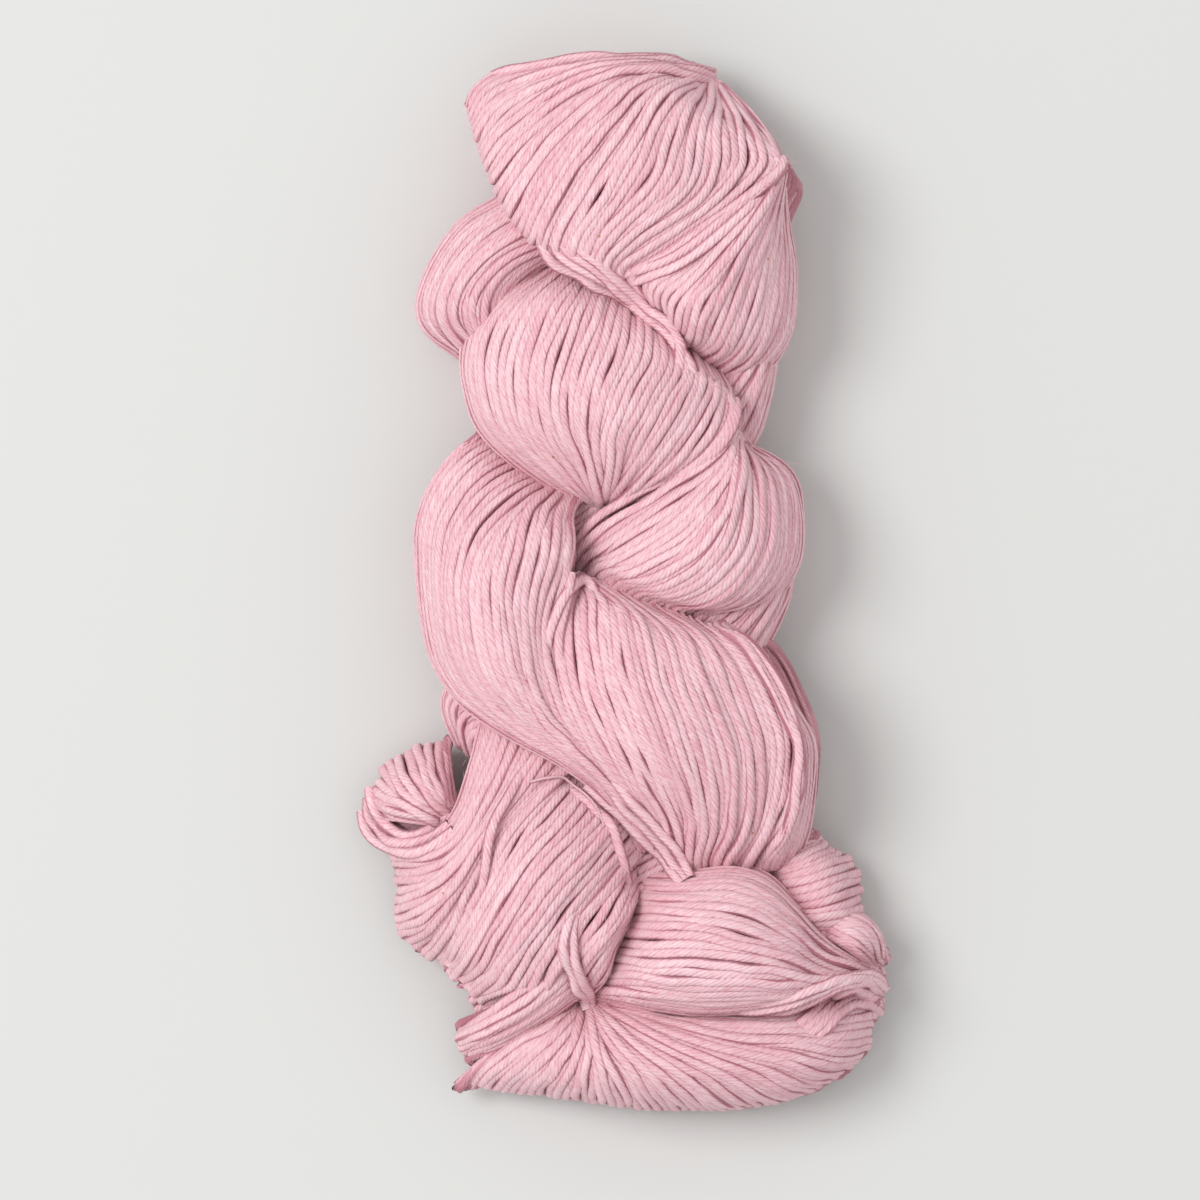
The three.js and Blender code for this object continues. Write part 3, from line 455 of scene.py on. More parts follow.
ALONG, FULL, FACE = loop_stations()
TOP_COUNT = int((FACE > 0).sum())
SPACING_SHARES = 241  # how finely the strands' spacing is measured across a lobe
NEIGHBOURS = np.array([-0.01, 0, 0.01])  # shares beside a strand that give its direction across


class Lobe:
    """A bundle of strands between two crossings of the twist."""

    def __init__(self, number, name, guides, left_from, right_from, rows):
        self.number, self.name, self.guides = number, name, guides
        self.on_top = name in TOP_LOBES
        self.joins = (left_from, right_from)
        self.rows = np.array(rows, float)
        fine = rounded_shares(SPACING_SHARES)
        upper = self.surface(ALONG[:TOP_COUNT], FULL[:TOP_COUNT], 1, fine)
        widest = np.linalg.norm(np.diff(upper, axis=1), axis=2).max(0)
        arc = np.concatenate([[0], np.cumsum(widest)])
        self.count = max(2, round(arc[-1] / OPEN_PITCH.get(name, PITCH)))
        self.shares = np.interp((np.arange(self.count) + 0.5) / self.count * arc[-1], arc, fine)
        # the loop of a middle strand tells which way round its normals point out
        self.sign = 1
        _, normal, _ = self.loop(0.5 + NEIGHBOURS, ALONG)
        self.sign = 1 if normal[TOP_COUNT // 2, 2] > 0 else -1

    def joined(self, side, along):
        """How far the edge on a side runs on into the next lobe, from 0 to 1."""
        start = self.joins[side]
        return np.zeros_like(along) if start is None else smooth_step((along - start) / JOIN_FADE + 1)

    def surface(self, along, full, face, share):
        """Points of the upper (face 1) or under (face -1) side, one row for each share along."""
        table = through(self.rows, along)
        strands = table[:, :-4].reshape(len(table), -1, 2)
        left, crown, right, belly = (c[:, None] for c in table[:, -4:].T)
        side = 2 * share - 1
        closed = np.sqrt(np.maximum(0, 1 - np.abs(side) ** ROUNDNESS))[None]
        join = np.where(side[None] < 0, self.joined(0, along)[:, None], self.joined(1, along)[:, None])
        face = np.broadcast_to(face, along.shape)[:, None]
        bulge = closed + (np.where(face > 0, (1 - side**2) ** JOIN_FLATNESS, 1.0) - closed) * join
        height = full[:, None] * np.where(face > 0, crown - (left + right) / 2, -belly)
        points = np.empty((len(along), len(share), 3))
        points[..., :2] = np.einsum("ag,kgc->kac", through(np.eye(self.guides), share), strands)
        points[..., 2] = left * (1 - share) + right * share + height * bulge
        return points

    def loop(self, shares, along):
        """Middle one of three neighbouring strands, its outward normal and the way across."""
        grid = self.surface(along, FULL, FACE, shares)
        forward = np.roll(grid[:, 1], -1, 0) - np.roll(grid[:, 1], 1, 0)
        across = unit(grid[:, 2] - grid[:, 0])
        return grid[:, 1], unit(np.cross(forward, across)) * self.sign, across


tables = {**TOP_LOBES, **UNDER_LOBES}
lobes = [Lobe(number, name, *table) for number, (name, table) in enumerate(tables.items())]

# Height maps of each lobe say which strands are buried in another lobe
CELL = 0.8
MAP_LOW = np.array([-75.0, -145.0])
MAP_SIZE = (190, 364)
MAP_SHARES = 321  # how finely a lobe is drawn into its maps
BURIED_DEPTH = 3.8  # strands this far inside another lobe are left out
BURIED_MARGIN = 4  # cells by which a lobe's maps are drawn in for that
CARRIED_CELLS = 5  # cells by which the skin is carried past the outline
OUTLINE_SHARES = 81  # how finely the lobes' outline is measured
NOTHING = 1000.0  # height that stands for an empty cell


def cells(xy):
    """Columns and rows of the map's cells at points."""
    c = ((xy - MAP_LOW) / CELL).round().astype(int)
    return np.clip(c[..., 0], 0, MAP_SIZE[0] - 1), np.clip(c[..., 1], 0, MAP_SIZE[1] - 1)


def height_map(lobe, face):
    """Highest points of a lobe's upper face (1), or lowest of its belly (-1), in each cell."""
    along = np.linspace(0, 1, MAP_SHARES)
    inward = np.minimum(1, np.minimum(along, 1 - along) / END_ROUNDING)
    points = lobe.surface(along, np.sqrt(inward * (2 - inward)), face, rounded_shares(MAP_SHARES))
    points = points.reshape(-1, 3)
    heights = np.full(MAP_SIZE, -face * NOTHING)
    pick = np.maximum if face > 0 else np.minimum
    pick.at(heights, cells(points[:, :2]), points[:, 2])
    return heights


def drawn_in(heights, pick):
    """The least favourable height within the margin round each cell."""
    for axis in (0, 1):
        source = heights
        for move in range(1, BURIED_MARGIN + 1):
            heights = pick(heights, pick(np.roll(source, move, axis), np.roll(source, -move, axis)))
    return heights


def carried_out(heights):
    """The same heights, with those at the outline carried a little way past it."""
    for _ in range(CARRIED_CELLS):
        beside = np.stack([np.roll(heights, move, axis) for axis in (0, 1) for move in (1, -1)])
        beside[beside < 0] = NOTHING
        lowest = beside.min(0)
        heights = np.where((heights < 0) & (lowest < NOTHING), lowest, heights)
    return heights


def table_shift():
    """The move that puts the middle of the tables' outline on the middle of the CAD solid."""
    share = np.linspace(0, 1, OUTLINE_SHARES)
    points = np.concatenate([lobe.surface(ALONG, FULL, FACE, share).reshape(-1, 3) for lobe in lobes])
    above = points[points[:, 2] > 0, :2]
    low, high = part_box("hank")
    cad_middle = np.array([(low[i] + high[i]) / 2 / MM for i in range(2)])
    return np.append(cad_middle - (above.min(0) + above.max(0)) / 2, 0.0)


for lobe in lobes:
    lobe.top, lobe.low = height_map(lobe, 1), height_map(lobe, -1)
    lobe.inner_top, lobe.inner_low = drawn_in(lobe.top, np.minimum), drawn_in(lobe.low, np.maximum)
skin = carried_out(np.maximum.reduce([lobe.top for lobe in lobes]))
shift = table_shift()


def buried(points, own):
    """Which points lie deep inside a lobe other than their own."""
    x, y = cells(points[:, :2])
    hidden = np.zeros(len(points), bool)
    for lobe in lobes:
        if lobe is not own:
            floor = np.maximum(lobe.inner_low[x, y] + BURIED_DEPTH, 0)
            hidden |= (points[:, 2] < lobe.inner_top[x, y] - BURIED_DEPTH) & (points[:, 2] > floor)
    return hidden


def skin_height(xy):
    """Height of the strands' outside at points, between the cells of the map."""
    c = (xy - MAP_LOW) / CELL
    i, j = np.clip(c.astype(int), 0, np.array(MAP_SIZE) - 2).T
    w, v = (c - np.column_stack([i, j])).T
    near = skin[i, j] * (1 - w) + skin[i + 1, j] * w
    far = skin[i, j + 1] * (1 - w) + skin[i + 1, j + 1] * w
    return near * (1 - v) + far * v


# Partings push the strands beside them aside
PARTING_REACH = 3.2  # how far from its line a parting still works
PARTING_POINTS = 25
PARTING_TAPER = 0.35  # exponent of its taper, smaller for blunter ends
PARTING_END = 1.5  # how far past its ends it still works
PARTING_MIDDLE = 0.4  # distance from its line at which strands keep to their side


def parting_curve(line):
    """Points along a parting, its direction there and the share of its width."""
    xy = through(np.array(line, float).reshape(-1, 2), np.linspace(0, 1, PARTING_POINTS))
    taper = np.sin(np.linspace(0, math.pi, PARTING_POINTS)) ** PARTING_TAPER
    return xy, unit(np.gradient(xy, axis=0)), taper


partings = [(width, *parting_curve(line)) for width, line in PARTINGS]


def give_way(xy):
    """How far strands at these places move aside for the partings."""
    move = np.zeros_like(xy)
    for width, line, direction, taper in partings:
        near = (np.abs(xy - line.mean(0)) < np.ptp(line, axis=0) / 2 + 3 * PARTING_REACH).all(1)
        if not near.any():
            continue
        offset = xy[near, None] - line[None]
        nearest = np.argmin((offset**2).sum(-1), 1)
        offset = offset[np.arange(len(offset)), nearest]
        across = np.column_stack([-direction[nearest, 1], direction[nearest, 0]])
        aside = (offset * across).sum(1)
        beyond = np.abs((offset * direction[nearest]).sum(1))
        fall = np.exp(-((aside / PARTING_REACH) ** 2) - (beyond / PARTING_END) ** 2)
        push = np.tanh(aside / PARTING_MIDDLE) * width / 2 * taper[nearest] * fall
        move[near] += across * push[:, None]
    return move


# Each strand sways with its neighbours and alone, sinks and rises. Lengths say how far it is from
# one bend to the next, and seeds keep lobes and strands in places of their own in the noise.
GROUP_SWAY = 0.9
GROUP_LENGTH = 22
GROUP_SEEDS = (5, 9)  # for its two directions
OWN_SWAY = 0.62
OWN_LENGTH = 13
KINK = 0.28
KINK_LENGTH = 4
CROWDED_CALM = 1.6  # how late a crowded strand begins to lose its own sway
UNEVEN = 0.85  # how deep a strand may sink among its neighbours
UNEVEN_LENGTH = 18
ROLLING = 0.5  # how deep the whole surface rolls
ROLLING_LENGTH = 9
ROLLING_SEED = 40
CROWD_DEPTH = 3.4  # how deep strands are pushed where they are crowded
CROWD_STRAND = 0.618  # step of that push from a strand to the next
CROWD_LOBE = 0.13  # and from a lobe to the next
THIN_SHARE = 0.22  # depth at most, as a share of the thickness of the lobe
LOBE_SEED = 7.3
OWN_SEED, KINK_SEED, UNEVEN_SEED = 9.7, 3.3, 5.1  # steps from a strand to the next
UNEVEN_START = 31

# Share of the length by which strands may stop short of an end of a lobe: near, far
LOOSE_ENDS = {
    "crown": (0, 0.03),
    "tuft": (0, 0.06),
    "sweepLeft": (0, 0.045),
    "sweepMain": (0, 0.045),
    "tail": (0, 0.06),
    "long": (0.03, 0),
    "fold": (0.1, 0),
    "foldEdge": (0.08, 0),
    "bottomFan": (0, 0.04),
}
UNDER_LOOSE = (0.02, 0.02)


def crowding_beside(lobe, j, along):
    """How closely the strands beside strand j press on it, from 0 to 1."""
    last = lobe.count - 1
    beside = lobe.surface(along, FULL, FACE, lobe.shares[[max(j - 1, 0), min(j + 1, last)]])
    gaps = np.linalg.norm(beside[:, 1] - beside[:, 0], axis=1) / (1 if j in (0, last) else 2)
    return np.clip(1 - gaps / PITCH, 0, 1)


def strand_sway(lobe, j, surface, across, crowding):
    """How far a strand swings sideways."""
    length = lengths(surface)
    seed = LOBE_SEED * (lobe.number + 1)
    x, y = surface[:, 0] / GROUP_LENGTH, surface[:, 1] / GROUP_LENGTH
    first, second = GROUP_SEEDS
    together = GROUP_SWAY * (noise(x + first, y) * across[:, 0] + noise(x, y + second) * across[:, 1])
    alone = OWN_SWAY * noise(length / OWN_LENGTH + seed, OWN_SEED * j + seed)
    alone = alone + KINK * noise(length / KINK_LENGTH + seed, KINK_SEED * j)
    return together + alone * np.minimum(1, CROWDED_CALM * (1 - crowding))


def strand_depth(lobe, j, surface, crowding):
    """How deep a strand lies in the surface of its lobe."""
    length = lengths(surface)
    seed = LOBE_SEED * (lobe.number + 1)
    level = (CROWD_STRAND * j + CROWD_LOBE * lobe.number) % 1
    wander = 0.5 + 0.5 * noise(length / UNEVEN_LENGTH + seed, UNEVEN_SEED * j + UNEVEN_START)
    roll = 0.5 + 0.5 * noise(surface[:, 0] / ROLLING_LENGTH + ROLLING_SEED, surface[:, 1] / ROLLING_LENGTH)
    depth = UNEVEN * wander + ROLLING * roll + CROWD_DEPTH * crowding * level
    thickness = np.linalg.norm(surface - surface[-np.arange(len(surface))], axis=1)
    return np.minimum(depth, THIN_SHARE * thickness)


def strand_path(lobe, j):
    """Centre line, outward normal and depth of one strand of a lobe, once round the loop."""
    loose = LOOSE_ENDS.get(lobe.name, (0, 0) if lobe.on_top else UNDER_LOOSE)
    near, far = np.array(loose) * rng.random(2)
    along = near + (1 - near - far) * ALONG
    surface, normal, across = lobe.loop(np.clip(lobe.shares[j] + NEIGHBOURS, 0, 1), along)
    crowding = crowding_beside(lobe, j, along)
    sideways = strand_sway(lobe, j, surface, across, crowding)
    depth = strand_depth(lobe, j, surface, crowding)
    centre = surface + across * sideways[:, None] - normal * (RADIUS + depth)[:, None]
    if lobe.on_top:
        facing_up = np.clip(normal[:, 2:] * 2, 0, 1) * (FACE > 0)[:, None]
        centre[:, :2] += give_way(centre[:, :2]) * facing_up
    return centre, normal, depth


def resample(path, step, *extras):
    """The path and what goes with it at even steps."""
    length = lengths(path)
    even = np.linspace(0, length[-1], max(2, round(length[-1] / step) + 1))
    return [
        np.stack([np.interp(even, length, values[:, c]) for c in range(values.shape[1])], 1)
        for values in (path, *extras)
    ]


def soften(path, rounds=2):
    """The path with its sharpest bends eased."""
    for _ in range(rounds):
        path = np.vstack([path[:1], (path[:-2] + 2 * path[1:-1] + path[2:]) / 4, path[-1:]])
    return path


HIDDEN_POINTS = 2  # hidden points kept at either end of a stretch that shows
SHORTEST_RUN = 4


def visible_runs(hidden):
    """Start and end of each stretch that shows."""
    shown = ~hidden
    for _ in range(HIDDEN_POINTS):
        shown = shown | np.append(shown[1:], False) | np.append(False, shown[:-1])
    edges = np.flatnonzero(np.diff(np.concatenate([[0], shown.astype(int), [0]])))
    return [(a, b) for a, b in zip(edges[::2], edges[1::2]) if b - a >= SHORTEST_RUN]


SLUB = 0.07  # how much a strand swells and thins along its length
SLUB_LENGTH = 7
SLUB_SEEDS = 100
WIDTH_SPREAD = 0.05  # how much strands differ in width
START_SPREAD = 40  # how much they differ in where their plies start
FULLY_SUNK = 3  # depth at which a strand's painted shade for sinking is full


def ring_faces(rings, sides, first):
    """Four-cornered faces between rings of points, the first of which has the number first."""
    k, i = np.meshgrid(np.arange(rings - 1), np.arange(sides), indexing="ij")
    a, b = first + k * sides + i, first + k * sides + (i + 1) % sides
    return np.stack([a, b, b + sides, a + sides], -1).reshape(-1, 4)


def new_mesh(name, points, faces, smooth=True):
    """A mesh of four-cornered faces between points in millimetres."""
    mesh = bpy.data.meshes.new(name)
    mesh.vertices.add(len(points))
    mesh.vertices.foreach_set("co", ((points + shift) * MM).ravel())
    mesh.loops.add(faces.size)
    mesh.loops.foreach_set("vertex_index", faces.ravel())
    mesh.polygons.add(len(faces))
    mesh.polygons.foreach_set("loop_start", np.arange(0, faces.size, 4))
    mesh.polygons.foreach_set("use_smooth", np.full(len(faces), smooth))
    mesh.update(calc_edges=True)
    return mesh


class Tubes:
    """Collects strands and writes them as one mesh."""

    def __init__(self):
        self.points, self.faces, self.uvs, self.tints = [], [], [], []
        self.total = 0

    def add(self, path, normal, depth, width=YARN, sides=SIDES):
        """A strand along a path. Its colour says its own two chances and how deep it has sunk, which sets
        its painted shade.
        """
        n = len(path)
        tangent = unit(np.gradient(path, axis=0))
        normal = unit(normal - tangent * (normal * tangent).sum(1, keepdims=True))
        side = np.cross(tangent, normal)
        length = lengths(path)
        start = rng.random() * START_SPREAD
        slub = 1 + SLUB * noise(length / SLUB_LENGTH + SLUB_SEEDS * start, start)
        slub = slub + WIDTH_SPREAD * (rng.random() - 0.5)
        angle = 2 * math.pi * (np.arange(sides) / sides + 0.5)
        high, wide = (np.sign(a) * np.abs(a) ** FULLNESS for a in (np.cos(angle), np.sin(angle)))
        ring = high[None, :, None] * normal[:, None] * FLATNESS + wide[None, :, None] * side[:, None]
        self.points.append((path[:, None] + ring * (width / 2 * slub)[:, None, None]).reshape(-1, 3))
        self.faces.append(ring_faces(n, sides, self.total))
        u = (length / PLY_MARK + start)[:, None]
        v = np.arange(sides + 1)[None] / sides
        uv = np.stack(np.broadcast_arrays(u, v), -1)
        self.uvs.append(np.stack([uv[:-1, :-1], uv[:-1, 1:], uv[1:, 1:], uv[1:, :-1]], 2).reshape(-1, 2))
        colour = np.ones((n, sides, 4))
        colour[..., :2] = rng.random(2)
        colour[..., 2] = np.clip(depth / FULLY_SUNK, 0, 1)[:, None]
        self.tints.append(colour.reshape(-1, 4))
        self.total += n * sides

    def build(self, name, material):
        mesh = new_mesh(name, np.concatenate(self.points), np.concatenate(self.faces))
        layer = mesh.uv_layers.new(name="strand")
        layer.data.foreach_set("uv", np.concatenate(self.uvs).ravel())
        tints = mesh.color_attributes.new("tint", "FLOAT_COLOR", "POINT")
        tints.data.foreach_set("color", np.concatenate(self.tints).ravel())
        place(name, mesh, material)


def place(name, mesh, material):
    """A piece of the hank, which stands for the CAD solid."""
    mesh.materials.append(material)
    piece = bpy.data.objects.new(name, mesh)
    bpy.context.scene.collection.objects.link(piece)
    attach(piece, "root")
    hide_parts("hank")


roots = []  # where fibres may grow: a point on a strand, its outward normal and its direction

# A strand along the joined right edge of a lobe closes the gap to its neighbour
SEAM_DEPTH = 0.9
SEAM_POINTS = 80
SEAM_LEAD = 0.05  # share of the length by which it starts before the join
SEAM_END = 0.97
SEAM_SHARES = np.array([0.97, 0.985, 1.0])
SEAM_LIFT = 0.6  # how far its normals are turned up


def seam_path(lobe):
    """Centre line, outward normal and depth of a seam strand."""
    along = np.linspace(max(lobe.joins[1] - SEAM_LEAD, 0), SEAM_END, SEAM_POINTS)
    grid = lobe.surface(along, np.ones(SEAM_POINTS), 1, SEAM_SHARES)
    forward = np.gradient(grid[:, 1], axis=0)
    normal = unit(np.cross(forward, grid[:, 2] - grid[:, 0]))
    normal = unit(normal * np.sign(normal[:, 2:]) + [0, 0, SEAM_LIFT])
    centre = grid[:, 2] - normal * (RADIUS + SEAM_DEPTH)
    centre[:, :2] += give_way(centre[:, :2])
    return centre, normal, np.full(SEAM_POINTS, SEAM_DEPTH)


def lobe_tubes(lobe):
    """The strands of a lobe where they show."""
    tubes = Tubes()
    step, sides = (STEP, SIDES) if lobe.on_top else (UNDER_STEP, UNDER_SIDES)
    paths = []
    for j in range(lobe.count):
        paths.append([np.concatenate([part, part[:2]]) for part in strand_path(lobe, j)])
    if lobe.joins[1] is not None:
        paths.append(seam_path(lobe))
    for centre, normal, depth in paths:
        path, normal, depth = resample(centre, step, normal, depth[:, None])
        path = soften(path)
        path[:, 2] = np.maximum(path[:, 2], RADIUS)
        for a, b in visible_runs(buried(path, lobe)):
            tubes.add(path[a:b], normal[a:b], depth[a:b, 0], sides=sides)
            roots.append(np.hstack([path[a:b], normal[a:b], np.gradient(path[a:b], axis=0)]))
    return tubes


# Strands laid over the lobes follow their skin
LAID_POINTS = 12  # points for each row of the table
LAID_EASING = 8  # rounds of easing of their height
LAID_SWAY_POINTS = 10  # points from one bend to the next
LAID_SEED = 3


def laid_path(xy, lift, width, j):
    """Centre line of a laid strand from its places and its lift over what is under it."""
    z = skin_height(xy)
    for _ in range(LAID_EASING):
        z = np.concatenate([z[:1], (z[:-2] + z[1:-1] + z[2:]) / 3, z[-1:]])
    sway = OWN_SWAY * noise(np.arange(len(xy)) / LAID_SWAY_POINTS + LAID_SEED * j, len(roots))
    thick = width * FLATNESS / 2
    path = np.column_stack([xy + sway[:, None], np.maximum(z + lift * YARN - thick, thick)])
    (path,) = resample(path, STEP)
    return soften(path)


def laid_tubes():
    """All the laid strands, each set spread from its first strand to its last."""
    tubes = Tubes()
    for count, width, rows in LAID.values():
        fine = through(np.array(rows, float), np.linspace(0, 1, LAID_POINTS * len(rows)))
        for j in range(count):
            w = j / max(count - 1, 1)
            path = laid_path(fine[:, :2] * (1 - w) + fine[:, -3:-1] * w, fine[:, -1], width, j)
            up = np.tile([0.0, 0.0, 1.0], (len(path), 1))
            tubes.add(path, up, np.zeros(len(path)), width)
            roots.append(np.hstack([path, up, np.gradient(path, axis=0)]))
    return tubes


# A core coloured in painted shade fills each lobe under its strands
CORE_DEPTH = 4.2  # how far it lies below the skin
CORE_STATIONS = 3  # it takes one in so many of the loop's stations
CORE_SHARES = 17
CORE_FLOOR = 1.2
CORE_END = 0.12  # share of the length by which it stops short of either end


def core_grid(lobe, along, pick, opposite):
    """Sections of a lobe, drawn towards their middles and kept below the skin."""
    grid = lobe.surface(along, FULL[pick], FACE[pick], rounded_shares(CORE_SHARES))
    middle = (grid + grid[opposite]).mean(1, keepdims=True) / 2
    inward = middle - grid
    size = np.linalg.norm(inward, axis=2, keepdims=True)
    grid = grid + inward * np.minimum(1, CORE_DEPTH / np.maximum(size, TINY))
    below = skin_height(grid[..., :2].reshape(-1, 2)).reshape(grid.shape[:2]) - CORE_DEPTH
    grid[..., 2] = np.maximum(np.minimum(grid[..., 2], below), CORE_FLOOR)
    return grid


def build_core(material):
    pick = np.arange(0, len(ALONG), CORE_STATIONS)
    along = CORE_END + (1 - 2 * CORE_END) * ALONG[pick]
    # the station on the other face that is as far along
    same_face = FACE[pick][:, None] == FACE[pick][None]
    opposite = np.where(same_face, np.inf, np.abs(along[:, None] - along[None])).argmin(1)
    points, faces, total = [], [], 0
    for lobe in lobes:
        grid = core_grid(lobe, along, pick, opposite)
        n, m = grid.shape[:2]
        k, i = np.meshgrid(np.arange(n), np.arange(m - 1), indexing="ij")
        here, after = total + k * m + i, total + (k + 1) % n * m + i
        faces.append(np.stack([here, here + 1, after + 1, after], -1).reshape(-1, 4))
        points.append(grid.reshape(-1, 3))
        total += n * m
    place("core", new_mesh("core", np.concatenate(points), np.concatenate(faces)), material)


# Loose fibres stand off the strands
FUZZ_COUNT = 10000
FUZZ_RADIUS = 0.04
FUZZ_TAPER = 0.6  # share of that radius which is gone at the tip
FUZZ_OUTLINE = 5.0  # how much more of it stands off the outline than off the top
FUZZ_LOWEST = -0.3  # slope of a strand's side below which none of that stands
FUZZ_POINTS = 4
FUZZ_CORNERS = (0, 2.1, 4.2)  # angles of the corners of a fibre's section
FUZZ_TURN = 1.2  # how far round a strand fibres grow, from its outward side
FUZZ_ASIDE = 0.7  # how much they lean across a strand, for 1 along it
FUZZ_LENGTH = (3, 0.75)  # shape and scale of their lengths
FUZZ_LIFT = (0.05, 0.55)  # how steeply they rise
FUZZ_CURL = 0.3
FUZZ_ROOT = 0.85  # where they start, as a share of a strand's radius
FUZZ_FLOOR = 0.1


def fuzz_rings():
    """Corners of each loose fibre, ring after ring."""
    every = np.concatenate(roots)
    outline = 1 - np.abs(unit(every[:, 3:6])[:, 2])
    chance = 1 + FUZZ_OUTLINE * outline * (every[:, 5] > FUZZ_LOWEST)
    pick = every[rng.choice(len(every), FUZZ_COUNT, p=chance / chance.sum())]
    base, normal, tangent = pick[:, :3], unit(pick[:, 3:6]), unit(pick[:, 6:])
    side = np.cross(tangent, normal)
    turn = rng.uniform(-FUZZ_TURN, FUZZ_TURN, (FUZZ_COUNT, 1))
    out = unit(normal * np.cos(turn) + side * np.sin(turn))
    onward = tangent * rng.normal(0, 1, (FUZZ_COUNT, 1))
    lean = unit(onward + side * rng.normal(0, FUZZ_ASIDE, (FUZZ_COUNT, 1)))
    reach = rng.gamma(*FUZZ_LENGTH, (FUZZ_COUNT, 1))
    lift = rng.uniform(*FUZZ_LIFT, (FUZZ_COUNT, 1))
    curl = unit(rng.normal(0, 1, (FUZZ_COUNT, 3)))
    points = []
    for t in np.linspace(0, 1, FUZZ_POINTS):
        middle = base + out * (RADIUS * FUZZ_ROOT)
        middle = middle + reach * (lean * t + out * lift * t + curl * FUZZ_CURL * t * t)
        middle[:, 2] = np.maximum(middle[:, 2], FUZZ_FLOOR)
        size = FUZZ_RADIUS * (1 - FUZZ_TAPER * t)
        for angle in FUZZ_CORNERS:
            points.append(middle + size * (out * math.cos(angle) + np.cross(out, lean) * math.sin(angle)))
    return np.stack(points, 1).reshape(-1, 3)


def build_fuzz(material):
    points = fuzz_rings()
    fibre = ring_faces(FUZZ_POINTS, len(FUZZ_CORNERS), 0)
    starts = np.arange(FUZZ_COUNT) * len(FUZZ_CORNERS) * FUZZ_POINTS
    faces = (fibre[None] + starts[:, None, None]).reshape(-1, 4)
    place("fuzz", new_mesh("fuzz", points, faces, smooth=False), material)


# Colours, from a strand's pale ridges and fibres to painted shade in its grooves, its sides and the lines
# between strands
PINK_LIGHT = (0.88, 0.65, 0.685, 1)
PINK_MIDDLE = (0.77, 0.43, 0.49, 1)
PINK_SHADE_AND_DARK_FIBRE = (0.70, 0.335, 0.40, 1)
PINK_LINE_SHADE = (0.40, 0.145, 0.185, 1)
PINK_SUNK_SHADE = (0.46, 0.18, 0.22, 1)
SHEEN_COLOUR = (1.0, 0.86, 0.88, 1)
FLECK_COLOUR = (0.36, 0.18, 0.06, 1)
CORE_SHADE_COLOUR = (0.38, 0.145, 0.185, 1)
FUZZ_COLOUR = (0.9, 0.72, 0.74, 1)
FLOOR_COLOUR = (0.63, 0.635, 0.62, 1)


class Nodes:
    """Short calls for building a node tree."""

    def __init__(self, name):
        self.material = bpy.data.materials.new(name)
        self.material.use_nodes = True
        self.tree = self.material.node_tree
        self.shader = self.tree.nodes["Principled BSDF"]

    def link(self, value, socket):
        if isinstance(value, bpy.types.NodeSocket):
            self.tree.links.new(value, socket)
        else:
            socket.default_value = value

    def add(self, kind, settings=(), **inputs):
        """A node. An input is named, or numbered after an underscore."""
        node = self.tree.nodes.new(kind)
        for key, value in dict(settings).items():
            setattr(node, key, value)
        for key, value in inputs.items():
            self.link(value, node.inputs[int(key[1:]) if key[0] == "_" else key])
        return node

    def math(self, operation, *values):
        node = self.tree.nodes.new("ShaderNodeMath")
        node.operation = operation
        for i, value in enumerate(values):
            self.link(value, node.inputs[i])
        return node.outputs[0]

    def times(self, value, factor):
        return self.math("MULTIPLY", value, factor)

    def line(self, value, factor, offset):
        return self.math("MULTIPLY_ADD", value, factor, offset)

    def ramp(self, value, low, high):
        """Smooth rise from 0 at low to 1 at high."""
        settings = {"data_type": "FLOAT", "interpolation_type": "SMOOTHSTEP"}
        node = self.add("ShaderNodeMapRange", settings, Value=value, _1=low, _2=high)
        return node.outputs[0]

    def noise(self, vector, scale, detail=2.0, roughness=0.5):
        node = self.add("ShaderNodeTexNoise", Vector=vector, Scale=scale, Detail=detail, Roughness=roughness)
        return node.outputs["Fac"]

    def mix(self, factor, low, high):
        node = self.tree.nodes.new("ShaderNodeMix")
        node.data_type = "RGBA"
        for i, value in ((0, factor), (6, low), (7, high)):
            self.link(value, node.inputs[i])
        return node.outputs[2]

    def vector(self, x, y, z):
        return self.add("ShaderNodeCombineXYZ", _0=x, _1=y, _2=z).outputs[0]

    def position(self):
        return self.add("ShaderNodeTexCoord").outputs["Object"]

    def finished(self, values):
        """The material, with these values on its shader."""
        for name, value in values.items():
            self.link(value, self.shader.inputs[name])
        return self.material


# Noise scales are per metre where they take the position, and otherwise along a strand's own places
PLY_WAVER = 1.8  # how unevenly plies are spaced
FLUFF_SCALE = 1500.0
BROAD_SCALE = 45.0
PATCH_SCALE = 260.0
FLECK_SCALE = 75.0
FLECK_SIZE = 0.028
BUMP_DEPTH = 0.0003
FLANK = (0.045, 0.125)  # share round a strand, from its crown, over which its painted shade deepens
CREASE = (0.09, 0.135)  # and over which the painted dark line of shade beside it starts
UPRIGHT = (0.86, 0.99)  # upward normals over which both fade


def ply_ridges(n, along, around, own):
    """Plies that wind round the strand, not quite evenly: their number and their ridges."""
    waver = n.noise(n.vector(n.times(along, 0.3), n.times(own, 70.0), around), 1.0, 3.0)
    ply = n.line(waver, PLY_WAVER, n.line(around, float(PLIES), along))
    return ply, n.math("SINE", n.times(n.math("FRACT", ply), math.pi))


def fibre_marks(n, ply, along, own):
    """Broad and fine strokes of fibre that lie along the plies."""
    stroke = n.noise(n.vector(n.times(ply, 1.3), n.times(along, 0.55), n.times(own, 50.0)), 1.0, 1.0, 0.5)
    fibre = n.noise(n.vector(n.times(ply, 4.0), n.times(along, 0.8), n.times(own, 30.0)), 1.0, 2.0, 0.6)
    return stroke, fibre


